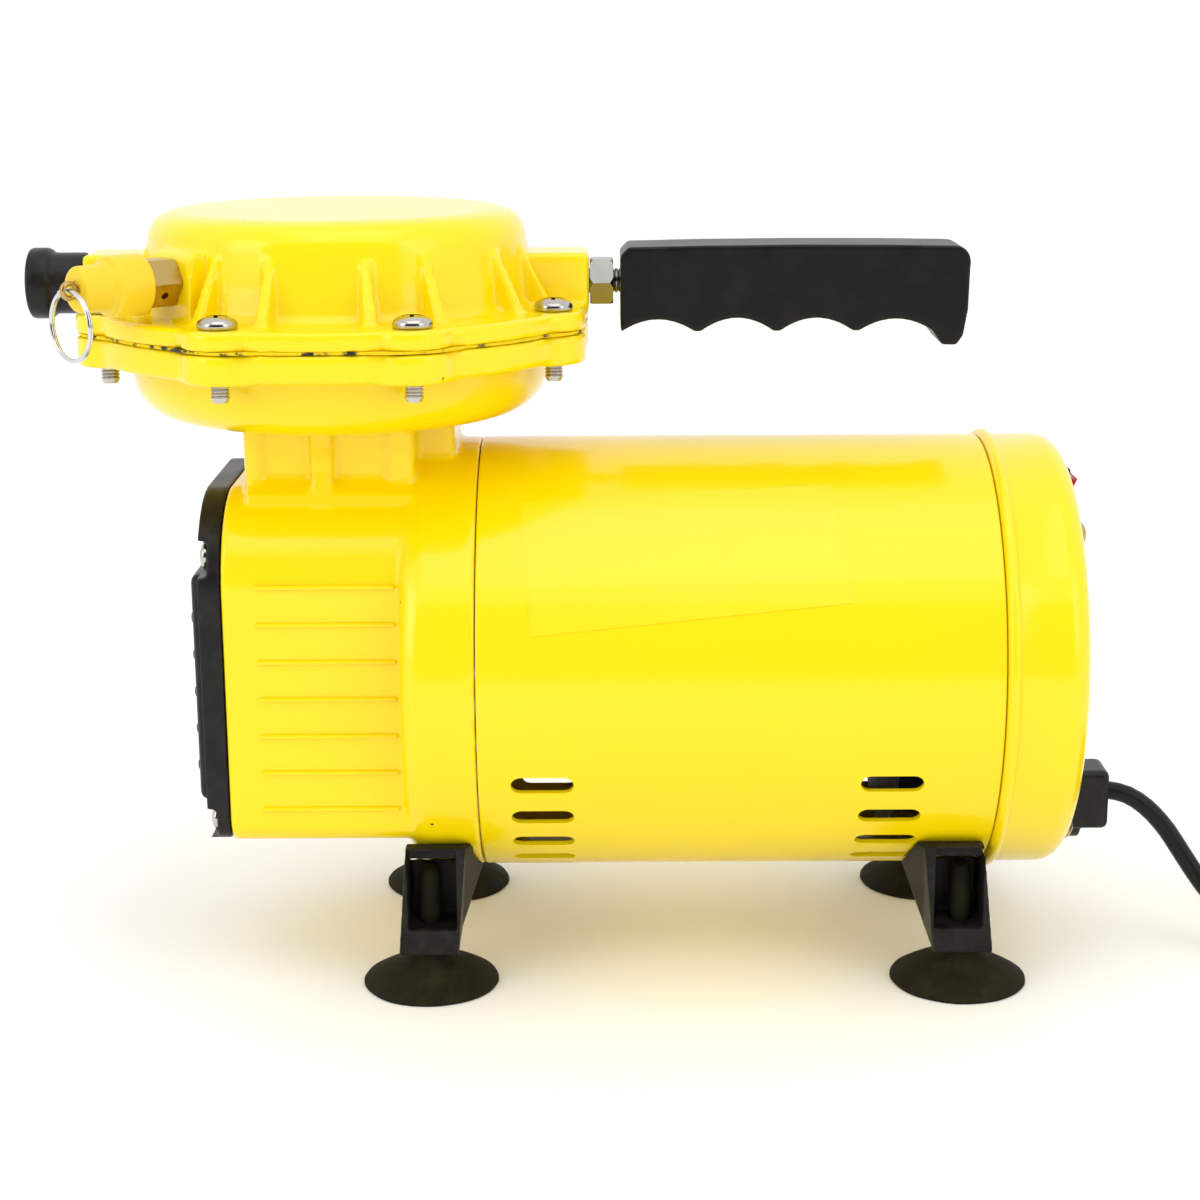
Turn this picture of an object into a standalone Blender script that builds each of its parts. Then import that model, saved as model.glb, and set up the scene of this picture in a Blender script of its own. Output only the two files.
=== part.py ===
"""Direct-drive diaphragm air compressor.

The motor lies along X and the diaphragm head stands at its left end. The object's length runs along X,
the near side is -Y, the floor is Z = 0. All sizes are in metres.
"""
import bmesh
import bpy
import math
from mathutils import Matrix, Vector

# Overall layout
AXIS_Z = 0.100                 # height of the motor axis above the floor
HEAD_X = -0.0765               # axis of the head and of the connecting rod
FIT = 0.0003                   # gap between pieces that touch
RUNNING = 0.0005               # gap where one piece turns in another
STEP = 0.0004                  # offset of lugs from the faces they stand beside

# Motor casing
BARREL_R = 0.0715
BARREL_WALL = 0.0015
BARREL_X0 = -0.0310
BARREL_X1 = 0.1320
END_X = BARREL_X1 + 0.0270      # outer face of the end cap
END_WALL = 0.0020
END_EDGE = 0.0080
BEAD_R = 0.0732
BEAD_WIDTH = 0.0045
VENT_ROWS = 6                  # rows on each side of the bottom row
VENT_PITCH = math.radians(11.4)
VENT_LENGTH = 0.0198
VENT_HEIGHT = 0.0062
VENT_CENTRES = (-0.0110, BARREL_X1 - 0.0337)
VENT_SEGMENTS = 4

# Crankcase casting
CASE_X0 = -0.1110
CASE_X1 = -0.0546              # where the box meets the round flange
CASE_HALF_Y = 0.0530
CASE_BOTTOM = 0.0495
CASE_TOP = 0.1615
CASE_ARCH = 0.0300             # radius of the upper corners
CASE_FOOT = 0.0080             # radius of the lower corners
CASE_WALL = 0.0055
BULKHEAD_X0 = -0.0600          # wall that carries the front bearing
BULKHEAD_X1 = -0.0500
MOTOR_POCKET_R = 0.0660
RIB_COUNT = 7
RIB_PITCH = 0.0121
RIB_TOP = 0.1345
RIB_PROUD = 0.0010
RIB_WIDTH = 0.0012
NECK_X0 = -0.1050
NECK_X1 = -0.0510
POST_X1 = -0.0390               # post behind the right end of the neck
POST_HALF_Y = 0.0200
NECK_HALF_Y = 0.0340
NECK_BORE_R = 0.0220
BOWL_R = 0.0670
BOWL_BOTTOM = 0.1825
BOWL_CORNER = 0.0140
FLANGE_R = 0.0805
FLANGE_TOP = 0.2102
FLANGE_DEPTH = 0.0085
LOBE_R = 0.0130                 # flange lobes around the screws
LOBE_CIRCLE_R = 0.0720

# Head
DIAPHRAGM_THICK = 0.0010
CAP_BOTTOM = FLANGE_TOP + DIAPHRAGM_THICK + 2 * FIT
CAP_FLANGE = 0.0055
CAP_TOP = 0.2473
CAP_TOP_R = 0.0526
CAP_SHOULDER = 0.0090
CAP_SIDE_R = 0.0625
CAP_WALL = 0.0055
SCREW_CIRCLE_R = 0.0755
SCREW_COUNT = 8
SCREW_R = 0.0029
SCREW_HEAD_R = 0.0062
SCREW_HEAD = 0.0038
SCREW_LENGTH = 0.0222
PLATE_R = 0.0500
PLATE_THICK = 0.0040
PLATE_LIFT = 0.0030            # room for the intake reed under the valve plate
PORT_R = 0.0045
PORT_OFFSET = 0.0330           # ports from the head axis
BOSS_REACH = FLANGE_R + 0.0003 # ends of the handle boss and the intake boss from the head axis
BOSS_HALF_Y = 0.0115
BOSS_TOP = 0.2334
FITTING_Z = 0.2235             # axis of the handle and the filter
VALVE_Z = 0.2290               # axis of the safety valve and the outlet
VALVE_BOSS_TOP = 0.2380
VALVE_BOSS_REACH = 0.0660
VALVE_ANGLE = math.radians(225)
OUTLET_ANGLE = math.radians(135)
STUD_R = 0.0040                 # stud of the handle and threaded ends of the fittings
THREAD_R = STUD_R + FIT         # bores that they screw into
PAD_HALF = 0.0105              # half width of the pads of the safety valve and the outlet
WEB_ANGLE = math.radians(9.0)  # webs stand at both sides of each screw
WEB_THICK = 0.0034
WEB_REACH = 0.0708
WEB_TOP = 0.2385

# Handle
STUD_IN = 0.0200
NUT_X0 = HEAD_X + BOSS_REACH + FIT
NUT_THICK = 0.0075
NUT_FLATS = 0.0143
GRIP_X0 = 0.0144
GRIP_X1 = 0.1260
GRIP_TOP = 0.2352
GRIP_BOTTOM = 0.2083
GRIP_HORN = 0.2035
GRIP_WIDTH = 0.0250
GRIP_EDGE = 0.0060
GROOVE_DEPTHS = (0.0038, 0.0042, 0.0041, 0.0037)
GROOVE_PITCH = 0.0254
GRIP_BORE = 0.0350

# Drive
SHAFT_R = 0.0060
SHAFT_X0 = -0.0860
SHAFT_X1 = END_X - 0.0120
THROW = 0.0025
ECCENTRIC_R = 0.0150
ROD_THICK = 0.0120
RACE = 0.0048
ROD_RIM = 0.0050
ROD_SHANK_X = 0.0100
ROD_SHANK_Y = 0.0160
CLAMP_R = 0.0210
CLAMP_TOP = 0.2110
CLAMP_THICK = 0.0030
CLAMP_HOLE_R = CLAMP_R + THROW + 0.0015
BEARING_R = 0.0110
STATOR_X0 = 0.0200
STATOR_X1 = 0.0750
STATOR_R = BARREL_R - BARREL_WALL - FIT
STATOR_BORE_R = 0.0385
ROTOR_R = STATOR_BORE_R - RUNNING
WINDING_R = 0.0600
WINDING_BORE_R = 0.0420
WINDING_LENGTH = 0.0140
FAN_X0 = BARREL_X1 - 0.0310
FAN_WIDTH = 0.0160
FAN_R = 0.0590
FAN_BLADES = 8
BRACKET_X0 = BARREL_X1 - 0.0075
BRACKET_THICK = 0.0060

# Fittings
FILTER_END_X = -0.1760
FILTER_R = 0.0098
FILTER_FLANGE_R = 0.0114
HEX_FLATS = 0.0140
VALVE_CAP_R = 0.0093
VALVE_NOSE_R = 0.0070
VALVE_TIP = 0.0990             # end of the cap from the head axis
RING_R = 0.0105                # middle of the wire
RING_WIRE = 0.0012
OUTLET_TIP = 0.0900

# End cap fittings
BOLT_Y = 0.0300
BOLT_HEIGHTS = (0.0475, 0.1450)
BOLT_HEAD_R = 0.0048
SWITCH_Z = 0.1500
SWITCH_HALF_Y = 0.0075
SWITCH_HALF_Z = 0.0105
SWITCH_FRAME = 0.0020
SWITCH_SLOPE = math.radians(9)
GLAND_Y = -0.0150
GLAND_Z = 0.0530
GLAND_LENGTH = 0.0167
GLAND_HALF_Y = 0.0085
GLAND_HALF_Z = 0.0100

# Cover
COVER_THICK = 0.0070
COVER_PLATE = 0.0035
COVER_SCREW_Y = 0.0430
COVER_SCREW_Z = (0.0560, 0.1425)
COVER_NOTCH = 0.0058            # half height of the notches that the screw heads sit in
COVER_SCREW_HEAD_R = 0.0042

# Legs and suction cups: front face centre at the top and at the bottom, side of the slanted web
LEG_TOP_Z = 0.0492
LEG_BOTTOM_Z = 0.0128
LEG_FRONT_Y = 0.0560
LEG_REAR_Y = 0.0320
LEG_HALF_X = 0.0096
LEG_FLARE = 0.0090
LEG_LEFT = (-0.0456, -0.0484, 1)
LEG_RIGHT = (BARREL_X1 - 0.0120, BARREL_X1 - 0.0082, -1)
LEG_FLOOR = 0.0080
LEG_WALL = 0.0019
LEG_ROOF = 0.0012
CUP_Y = 0.0455
CUP_R = 0.0220
CUP_STEM_R = 0.0030
CUP_SHOULDER = 0.0125
CUP_BULB_R = 0.0036
CUP_TOP = 0.0400

# Mains lead: the points its free stretch follows from the gland to the coil
CORD_R = 0.0031
CORD_STEP = 0.0140
CORD_ROUTE = (
    (END_X + 0.0182, -0.0150, 0.0541),
    (END_X + 0.0212, -0.0150, 0.0537),
    (END_X + 0.0258, -0.0150, 0.0519),
    (END_X + 0.0318, -0.0153, 0.0475),
    (END_X + 0.0376, -0.0158, 0.0412),
    (END_X + 0.0422, -0.0166, 0.0345),
    (END_X + 0.0470, -0.0180, 0.0272),
    (END_X + 0.0530, -0.0208, 0.0192),
    (END_X + 0.0620, -0.0262, 0.0114),
    (END_X + 0.0750, -0.0345, 0.0056),
    (END_X + 0.0910, -0.0430, 0.0035),
    (END_X + 0.1080, -0.0477, 0.0034),
    (END_X + 0.1250, -0.0485, 0.0034),
)
COIL_CENTRE = (END_X + 0.1250, 0.0000)
COIL_OUTER_R = 0.0450
COIL_INNER_R = 0.0240
COIL_HEIGHT = 0.0190
PLUG_START = (-0.0080, -0.0330)  # rear of the plug from the coil's centre
PLUG_LENGTH = 0.0360
PLUG_HALF = 0.0110
PLUG_THICK = 0.0160
PIN_R = 0.0020
PIN_OFFSET = 0.0070
PIN_LENGTH = 0.0180

ROUND = 40
SMALL_ROUND = 16

COLOURS = {
    "yellow": ((0.95, 0.78, 0.0, 1), 0.25, 0.0),
    "black": ((0.015, 0.015, 0.016, 1), 0.45, 0.0),
    "rubber": ((0.03, 0.028, 0.024, 1), 0.8, 0.0),
    "chrome": ((0.75, 0.75, 0.76, 1), 0.15, 1.0),
    "steel": ((0.5, 0.5, 0.52, 1), 0.35, 1.0),
    "brass": ((0.62, 0.42, 0.16, 1), 0.3, 1.0),
    "copper": ((0.5, 0.16, 0.06, 1), 0.4, 0.6),
    "aluminium": ((0.62, 0.62, 0.63, 1), 0.4, 1.0),
    "red": ((0.7, 0.02, 0.01, 1), 0.3, 0.0),
    "valve_yellow": ((0.9, 0.7, 0.02, 1), 0.4, 0.0),
}

parts = None
cutters = None


def clear_scene():
    for old in list(bpy.data.objects):
        bpy.data.objects.remove(old, do_unlink=True)


def new_collection(name):
    collection = bpy.data.collections.new(name)
    bpy.context.scene.collection.children.link(collection)
    return collection


def material(name):
    made = bpy.data.materials.get(name)
    if made is None:
        colour, roughness, metallic = COLOURS[name]
        made = bpy.data.materials.new(name)
        made.use_nodes = True
        shader = made.node_tree.nodes["Principled BSDF"]
        shader.inputs["Base Color"].default_value = colour
        shader.inputs["Roughness"].default_value = roughness
        shader.inputs["Metallic"].default_value = metallic
    return made


def add_piece(name, mesh, colour=None, at=(0, 0, 0)):
    """A piece with a colour goes in the object's collection, one without is a cutter or a lug."""
    piece = bpy.data.objects.new(name, mesh)
    piece.location = at
    if colour is None:
        cutters.objects.link(piece)
        piece.hide_render = True
        piece.display_type = "WIRE"
    else:
        parts.objects.link(piece)
        mesh.materials.clear()
        mesh.materials.append(material(colour))
        mesh.shade_smooth()
        mesh.set_sharp_from_angle(angle=math.radians(35))
    return piece


def boolean(piece, tool, operation):
    change = piece.modifiers.new(operation.title(), "BOOLEAN")
    change.operation = operation
    change.solver = "EXACT"
    change.object = tool


def cut(piece, *tools):
    for tool in tools:
        boolean(piece, tool, "DIFFERENCE")


def join(piece, *tools):
    for tool in tools:
        boolean(piece, tool, "UNION")


def box(name, low, high, colour=None):
    shape = bmesh.new()
    bmesh.ops.create_cube(shape, size=1)
    low = Vector(low)
    high = Vector(high)
    bmesh.ops.scale(shape, vec=high - low, verts=shape.verts)
    bmesh.ops.translate(shape, vec=(low + high) / 2, verts=shape.verts)
    mesh = bpy.data.meshes.new(name)
    shape.to_mesh(mesh)
    shape.free()
    return add_piece(name, mesh, colour)


def rounded(piece, width, segments=2):
    edge = piece.modifiers.new("Bevel", "BEVEL")
    edge.width = width
    edge.segments = segments
    edge.limit_method = "ANGLE"
    edge.angle_limit = math.radians(30)
    return piece


TURN = {
    "X": Matrix.Rotation(math.radians(90), 4, "Y"),
    "Z": Matrix.Identity(4),
    "Y": Matrix.Rotation(math.radians(-90), 4, "X"),
}


def radial(angle):
    """Turn that lays local Z along the level direction at this angle around the head."""
    return Matrix.Rotation(angle, 4, "Z") @ TURN["X"]


def lathe(name, profile, colour=None, turn="Z", at=(0, 0, 0), closed=False, steps=ROUND):
    """Turned solid: profile is (radius, height) down the outer side, height along the turning axis."""
    mesh = bpy.data.meshes.new(name)
    shape = bmesh.new()
    points = [shape.verts.new((radius, 0, height)) for radius, height in profile]
    for first, second in zip(points, points[1:]):
        shape.edges.new((first, second))
    if closed:
        shape.edges.new((points[-1], points[0]))
    shape.to_mesh(mesh)
    shape.free()
    piece = add_piece(name, mesh, colour, at)
    frame = TURN[turn] if isinstance(turn, str) else turn
    piece.rotation_euler = frame.to_euler()
    screw = piece.modifiers.new("Screw", "SCREW")
    screw.steps = steps
    screw.render_steps = steps
    screw.use_merge_vertices = True
    screw.merge_threshold = 0.00001
    screw.use_smooth_shade = True
    return piece


def rod(name, radius, start, end, colour=None, turn="Z", at=(0, 0, 0), steps=SMALL_ROUND):
    return lathe(
        name, [(0, end), (radius, end), (radius, start), (0, start)], colour, turn, at, steps=steps,
    )


def ring(name, outer, inner, start, end, colour=None, turn="Z", at=(0, 0, 0), steps=ROUND):
    profile = [(outer, end), (outer, start), (inner, start), (inner, end)]
    return lathe(name, profile, colour, turn, at, closed=True, steps=steps)


def arc(centre, radius, start, end, count):
    """Points on an arc, angles in degrees."""
    found = []
    for index in range(count + 1):
        angle = math.radians(start + (end - start) * index / count)
        found.append((centre[0] + radius * math.cos(angle), centre[1] + radius * math.sin(angle)))
    return found


def slab(name, outline, start, end, colour=None, turn=None, at=(0, 0, 0)):
    """Flat outline extruded along local Z from start to end, turned and placed in the mesh."""
    curve = bpy.data.curves.new(name, "CURVE")
    curve.dimensions = "2D"
    curve.fill_mode = "BOTH"
    curve.extrude = (end - start) / 2
    spline = curve.splines.new("POLY")
    spline.points.add(len(outline) - 1)
    for point, (u, v) in zip(spline.points, outline):
        point.co = (u, v, 0, 1)
    spline.use_cyclic_u = True
    sketch = bpy.data.objects.new(name + "_outline", curve)
    cutters.objects.link(sketch)
    bpy.context.view_layer.update()
    mesh = bpy.data.meshes.new_from_object(sketch.evaluated_get(bpy.context.evaluated_depsgraph_get()))
    bpy.data.objects.remove(sketch, do_unlink=True)
    shape = bmesh.new()
    shape.from_mesh(mesh)
    bmesh.ops.remove_doubles(shape, verts=shape.verts, dist=0.00001)
    bmesh.ops.translate(shape, vec=(0, 0, (start + end) / 2), verts=shape.verts)
    if turn is not None:
        bmesh.ops.transform(shape, matrix=turn, verts=shape.verts)
    bmesh.ops.recalc_face_normals(shape, faces=shape.faces)
    shape.to_mesh(mesh)
    shape.free()
    return add_piece(name, mesh, colour, at)


# Local X, Y, Z of an outline laid along world Y, Z, X, and along X, Z, -Y
ACROSS_X = Matrix(((0, 0, 1, 0), (1, 0, 0, 0), (0, 1, 0, 0), (0, 0, 0, 1)))
ACROSS_Y = Matrix(((1, 0, 0, 0), (0, 0, -1, 0), (0, 1, 0, 0), (0, 0, 0, 1)))


def hexagon(flats):
    reach = flats / math.sqrt(3)
    return [(reach * math.cos(math.pi * k / 3), reach * math.sin(math.pi * k / 3)) for k in range(6)]


def case_outline(inset=0.0):
    """Crankcase box seen along the motor: flat floor, straight sides, arched top."""
    half = CASE_HALF_Y - inset
    low = CASE_BOTTOM + inset
    high = CASE_TOP - inset
    arch = CASE_ARCH - inset
    foot = max(CASE_FOOT - inset, 0.0020)
    points = arc((half - foot, low + foot), foot, -90, 0, 2)
    points += arc((half - arch, high - arch), arch, 0, 90, 6)
    points += arc((arch - half, high - arch), arch, 90, 180, 6)
    points += arc((foot - half, low + foot), foot, 180, 270, 2)
    return points


def screw_angles():
    return [math.radians(22.5 + 360 / SCREW_COUNT * index) for index in range(SCREW_COUNT)]


def around_head(radius, angle, height=0.0):
    return (HEAD_X + radius * math.cos(angle), radius * math.sin(angle), height)


def make_crankcase():
    case = slab("crankcase", case_outline(), CASE_X0, CASE_X1 + 0.002, "yellow", ACROSS_X)
    round_profile = [
        (0, BARREL_X0 - FIT),
        (BARREL_R, BARREL_X0 - FIT),
        (BARREL_R, CASE_X1 + 0.004),
        (BARREL_R - 0.004, CASE_X1),
        (0, CASE_X1),
    ]
    flange_low = FLANGE_TOP - FLANGE_DEPTH
    bowl_profile = [(0, FLANGE_TOP), (FLANGE_R, FLANGE_TOP), (FLANGE_R, flange_low), (BOWL_R, flange_low)]
    corner = arc((BOWL_R - BOWL_CORNER, BOWL_BOTTOM + BOWL_CORNER), BOWL_CORNER, 0, -90, 6)
    bowl_profile += [point for point in corner if point[1] < flange_low - 0.0002]
    bowl_profile.append((0, BOWL_BOTTOM))
    neck = box(
        "neck_lug", (NECK_X0, -NECK_HALF_Y, CASE_TOP - 0.028),
        (NECK_X1, NECK_HALF_Y, BOWL_BOTTOM + 0.006),
    )
    rounded(neck, 0.006)
    post_low = (NECK_X1 - 0.004, -POST_HALF_Y, CASE_TOP - 0.0285)
    post = box("post_lug", post_low, (POST_X1, POST_HALF_Y, BOWL_BOTTOM + 0.0065))
    join(
        case,
        lathe("round_lug", round_profile, turn="X", at=(0, 0, AXIS_Z)),
        lathe("bowl_lug", bowl_profile, at=(HEAD_X, 0, 0)),
        neck,
        rounded(post, 0.003),
    )
    for number, angle in enumerate(screw_angles(), 1):
        place = around_head(LOBE_CIRCLE_R, angle)
        lug = rod("case_lobe_%d" % number, LOBE_R, flange_low - STEP, FLANGE_TOP - STEP, at=place, steps=16)
        join(case, lug)
    for row in range(RIB_COUNT):
        height = RIB_TOP - RIB_PITCH * row
        reach = CASE_HALF_Y + RIB_PROUD
        low = (CASE_X0 + 0.010, -reach, height - RIB_WIDTH / 2)
        high = (CASE_X1 - 0.0015, reach, height + RIB_WIDTH / 2)
        join(case, box("case_rib_%d" % (row + 1), low, high))
    cavity = [
        (0, FLANGE_TOP + 0.01),
        (BOWL_R - CASE_WALL, FLANGE_TOP + 0.01),
        (BOWL_R - CASE_WALL, BOWL_BOTTOM + BOWL_CORNER),
        (BOWL_R - CASE_WALL - 0.012, BOWL_BOTTOM + CASE_WALL),
        (NECK_BORE_R, BOWL_BOTTOM + CASE_WALL),
        (NECK_BORE_R, AXIS_Z + 0.005),
        (0, AXIS_Z + 0.005),
    ]
    pocket = [
        (0, BARREL_X0 + 0.01),
        (MOTOR_POCKET_R, BARREL_X0 + 0.01),
        (MOTOR_POCKET_R, BULKHEAD_X1),
        (BEARING_R + FIT, BULKHEAD_X1),
        (BEARING_R + FIT, BULKHEAD_X0 - 0.01),
        (0, BULKHEAD_X0 - 0.01),
    ]
    cut(
        case,
        lathe("bowl_cavity", cavity, at=(HEAD_X, 0, 0), steps=32),
        slab("crank_chamber", case_outline(CASE_WALL), CASE_X0 - 0.01, BULKHEAD_X0, None, ACROSS_X),
        lathe("motor_pocket", pocket, turn="X", at=(0, 0, AXIS_Z), steps=32),
    )
    for number, angle in enumerate(screw_angles(), 1):
        place = around_head(SCREW_CIRCLE_R, angle)
        cut(case, rod("case_hole_%d" % number, SCREW_R + 2 * FIT, 0.19, 0.22, at=place, steps=8))
    for number, (y, z) in enumerate(cover_screw_places(), 1):
        place = (0, y, z)
        join(
            case,
            rod("screw_lug_%d" % number, 0.0058, CASE_X0 + STEP, BULKHEAD_X0 + STEP, turn="X", at=place, steps=12),
        )
        cut(
            case,
            rod("tapped_%d" % number, 0.0023, CASE_X0 - 0.01, CASE_X0 + 0.012, turn="X", at=place, steps=8),
        )


def cover_screw_places():
    return [(side * COVER_SCREW_Y, height) for side in (-1, 1) for height in COVER_SCREW_Z]


def make_cover():
    near = CASE_X0 - FIT
    far = near - COVER_THICK
    cover = slab("crankcase_cover", case_outline(0.0006), far, near, "black", ACROSS_X)
    face = far - COVER_PLATE
    low_z = COVER_SCREW_Z[0] + COVER_NOTCH
    high_z = COVER_SCREW_Z[1] - COVER_NOTCH
    plate = box("cover_plate", (face, -0.045, low_z), (far + 0.002, 0.045, high_z))
    join(cover, rounded(plate, 0.003))
    for row in range(5):
        height = low_z + 0.009 + 0.01225 * row
        join(
            cover,
            box("cover_rib_%d" % row, (face - 0.0010, -0.040, height), (face + 0.001, 0.040, height + 0.0035)),
        )
    for number, (y, z) in enumerate(cover_screw_places(), 1):
        inner_y = abs(y) - COVER_NOTCH
        ends = sorted((math.copysign(inner_y, y), math.copysign(CASE_HALF_Y + 0.002, y)))
        low = (far - 0.02, ends[0], z - COVER_NOTCH + STEP)
        cut(cover, box("cover_notch_%d" % number, low, (far + 0.0030, ends[1], z + COVER_NOTCH - STEP)))
        cut(
            cover,
            rod("cover_hole_%d" % number, 0.0023, far - 0.01, near + 0.01, turn="X", at=(0, y, z), steps=8),
        )
        seat = far + 0.0030 - FIT
        profile = [
            (0, near + 0.008),
            (0.0020, near + 0.008),
            (0.0020, seat),
            (COVER_SCREW_HEAD_R, seat),
            (COVER_SCREW_HEAD_R, seat - 0.0012),
            (0.0026, seat - 0.0026),
            (0, seat - 0.0028),
        ]
        lathe("cover_screw_%d" % number, profile, "chrome", "X", (0, y, z), steps=10)


def make_head_cap():
    shoulder = arc((CAP_TOP_R, CAP_TOP - CAP_SHOULDER), CAP_SHOULDER - 0.001, 90, 10, 6)
    flange_top = CAP_BOTTOM + CAP_FLANGE
    profile = [(0, CAP_TOP), (CAP_TOP_R - 0.001, CAP_TOP)]
    profile += [(radius, height + 0.001) for radius, height in shoulder[1:]]
    profile += [(CAP_SIDE_R, flange_top), (FLANGE_R, flange_top), (FLANGE_R, CAP_BOTTOM), (0, CAP_BOTTOM)]
    cap = lathe("head_cap", profile, "yellow", at=(HEAD_X, 0, 0))
    for number, angle in enumerate(screw_angles(), 1):
        place = around_head(LOBE_CIRCLE_R, angle)
        lug = rod("cap_lobe_%d" % number, LOBE_R, CAP_BOTTOM + STEP, flange_top - STEP, at=place, steps=16)
        join(cap, lug)
    reach = BOSS_REACH
    lug_low = CAP_BOTTOM + 0.002
    lug = box("cross_lug", (HEAD_X - reach, -BOSS_HALF_Y, lug_low), (HEAD_X + reach, BOSS_HALF_Y, BOSS_TOP))
    join(cap, rounded(lug, 0.002))
    for number, angle in enumerate((VALVE_ANGLE, OUTLET_ANGLE), 1):
        pad = box(
            "cap_pad_%d" % number, (0.030, -PAD_HALF, lug_low),
            (VALVE_BOSS_REACH, PAD_HALF, VALVE_BOSS_TOP),
        )
        rounded(pad, 0.0025)
        pad.rotation_euler.z = angle
        pad.location.x = HEAD_X
        join(cap, pad)
    inner = CAP_SIDE_R - CAP_WALL
    web_outline = [(inner, lug_low), (WEB_REACH, lug_low), (CAP_SIDE_R - 0.0035, WEB_TOP), (inner, WEB_TOP)]
    for screw in screw_angles():
        for side in (-1, 1):
            turn = Matrix.Rotation(screw + side * WEB_ANGLE, 4, "Z") @ ACROSS_Y
            join(
                cap,
                slab("cap_web", web_outline, -WEB_THICK / 2, WEB_THICK / 2, None, turn, (HEAD_X, 0, 0)),
            )
    plate_seat = CAP_BOTTOM + PLATE_LIFT + PLATE_THICK + FIT
    inside = [
        (0, CAP_TOP - CAP_WALL),
        (CAP_TOP_R - 0.010, CAP_TOP - CAP_WALL),
        (PLATE_R - 0.0035, CAP_TOP - CAP_WALL - 0.005),
        (PLATE_R - 0.0035, plate_seat),
        (PLATE_R + FIT, plate_seat),
        (PLATE_R + FIT, CAP_BOTTOM - 0.01),
        (0, CAP_BOTTOM - 0.01),
    ]
    cut(cap, lathe("cap_cavity", inside, at=(HEAD_X, 0, 0)))
    gallery = box(
        "intake_gallery",
        (HEAD_X - PLATE_R - 0.004, -0.0110, plate_seat + 0.0004),
        (HEAD_X - PORT_OFFSET + 0.0110, 0.0110, CAP_TOP - CAP_WALL + 0.002),
    )
    join(cap, gallery)
    middle = (HEAD_X, 0, FITTING_Z)
    valve_middle = (HEAD_X, 0, VALVE_Z)
    cut(
        cap,
        rod("intake_bore", 0.0062, -BOSS_REACH - 0.01, -PORT_OFFSET + 0.002, turn="X", at=middle, steps=16),
        rod(
            "intake_drop", 0.0050, plate_seat - 0.01, FITTING_Z + 0.0011,
            at=(HEAD_X - PORT_OFFSET, 0, 0), steps=16,
        ),
        rod(
            "stud_hole", THREAD_R, BOSS_REACH - STUD_IN - 0.001, BOSS_REACH + 0.01, turn="X",
            at=middle, steps=16,
        ),
        rod("valve_hole", THREAD_R, 0.035, 0.080, turn=radial(VALVE_ANGLE), at=valve_middle, steps=16),
        rod("outlet_hole", THREAD_R, 0.035, 0.080, turn=radial(OUTLET_ANGLE), at=valve_middle, steps=16),
    )
    for number, angle in enumerate(screw_angles(), 1):
        place = around_head(SCREW_CIRCLE_R, angle)
        cut(cap, rod("cap_hole_%d" % number, SCREW_R + 2 * FIT, 0.20, 0.23, at=place, steps=8))
        seat = flange_top + FIT
        head = [
            (0, seat + SCREW_HEAD),
            (SCREW_HEAD_R * 0.55, seat + SCREW_HEAD * 0.88),
            (SCREW_HEAD_R * 0.9, seat + SCREW_HEAD * 0.5),
            (SCREW_HEAD_R, seat),
            (SCREW_R, seat),
            (SCREW_R, seat - SCREW_LENGTH),
            (0, seat - SCREW_LENGTH),
        ]
        lathe("head_screw_%d" % number, head, "chrome", at=place, steps=12)


def make_diaphragm_and_valves():
    low = FLANGE_TOP + FIT
    fold = low - 0.0035
    inner = CLAMP_HOLE_R
    thick = DIAPHRAGM_THICK
    upper = [(inner, low + thick), (0.034, low + thick), (0.042, fold + thick), (0.050, low + thick)]
    upper.append((FLANGE_R, low + thick))
    lower = [(radius, height - thick) for radius, height in reversed(upper)]
    outline = list(reversed(upper)) + list(reversed(lower))
    diaphragm = lathe("diaphragm", outline, "rubber", at=(HEAD_X, 0, 0), closed=True, steps=32)
    for number, angle in enumerate(screw_angles(), 1):
        place = around_head(SCREW_CIRCLE_R, angle)
        cut(diaphragm, rod("diaphragm_hole_%d" % number, SCREW_R + 2 * FIT, 0.20, 0.22, at=place, steps=8))
    plate_low = CAP_BOTTOM + PLATE_LIFT
    plate_high = plate_low + PLATE_THICK
    plate = rod("valve_plate", PLATE_R, plate_low, plate_high, "aluminium", at=(HEAD_X, 0, 0), steps=ROUND)
    for side, name in ((-1, "intake_port"), (1, "exhaust_port")):
        place = (HEAD_X + side * PORT_OFFSET, 0, 0)
        cut(plate, rod(name, PORT_R, plate_low - 0.01, plate_high + 0.01, at=place, steps=16))
    reed_half = PORT_R + 0.0020
    reeds = ((-1, "intake_reed", plate_low - FIT - 0.0004), (1, "exhaust_reed", plate_high + FIT))
    for side, name, base in reeds:
        middle = HEAD_X + side * PORT_OFFSET
        reed = box(name, (-reed_half, -0.0070, 0), (reed_half, 0.0130, 0.0004), "steel")
        reed.data.transform(Matrix.Translation((0, -0.0130, 0)))
        reed.location = (middle, 0.0130, base)


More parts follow.
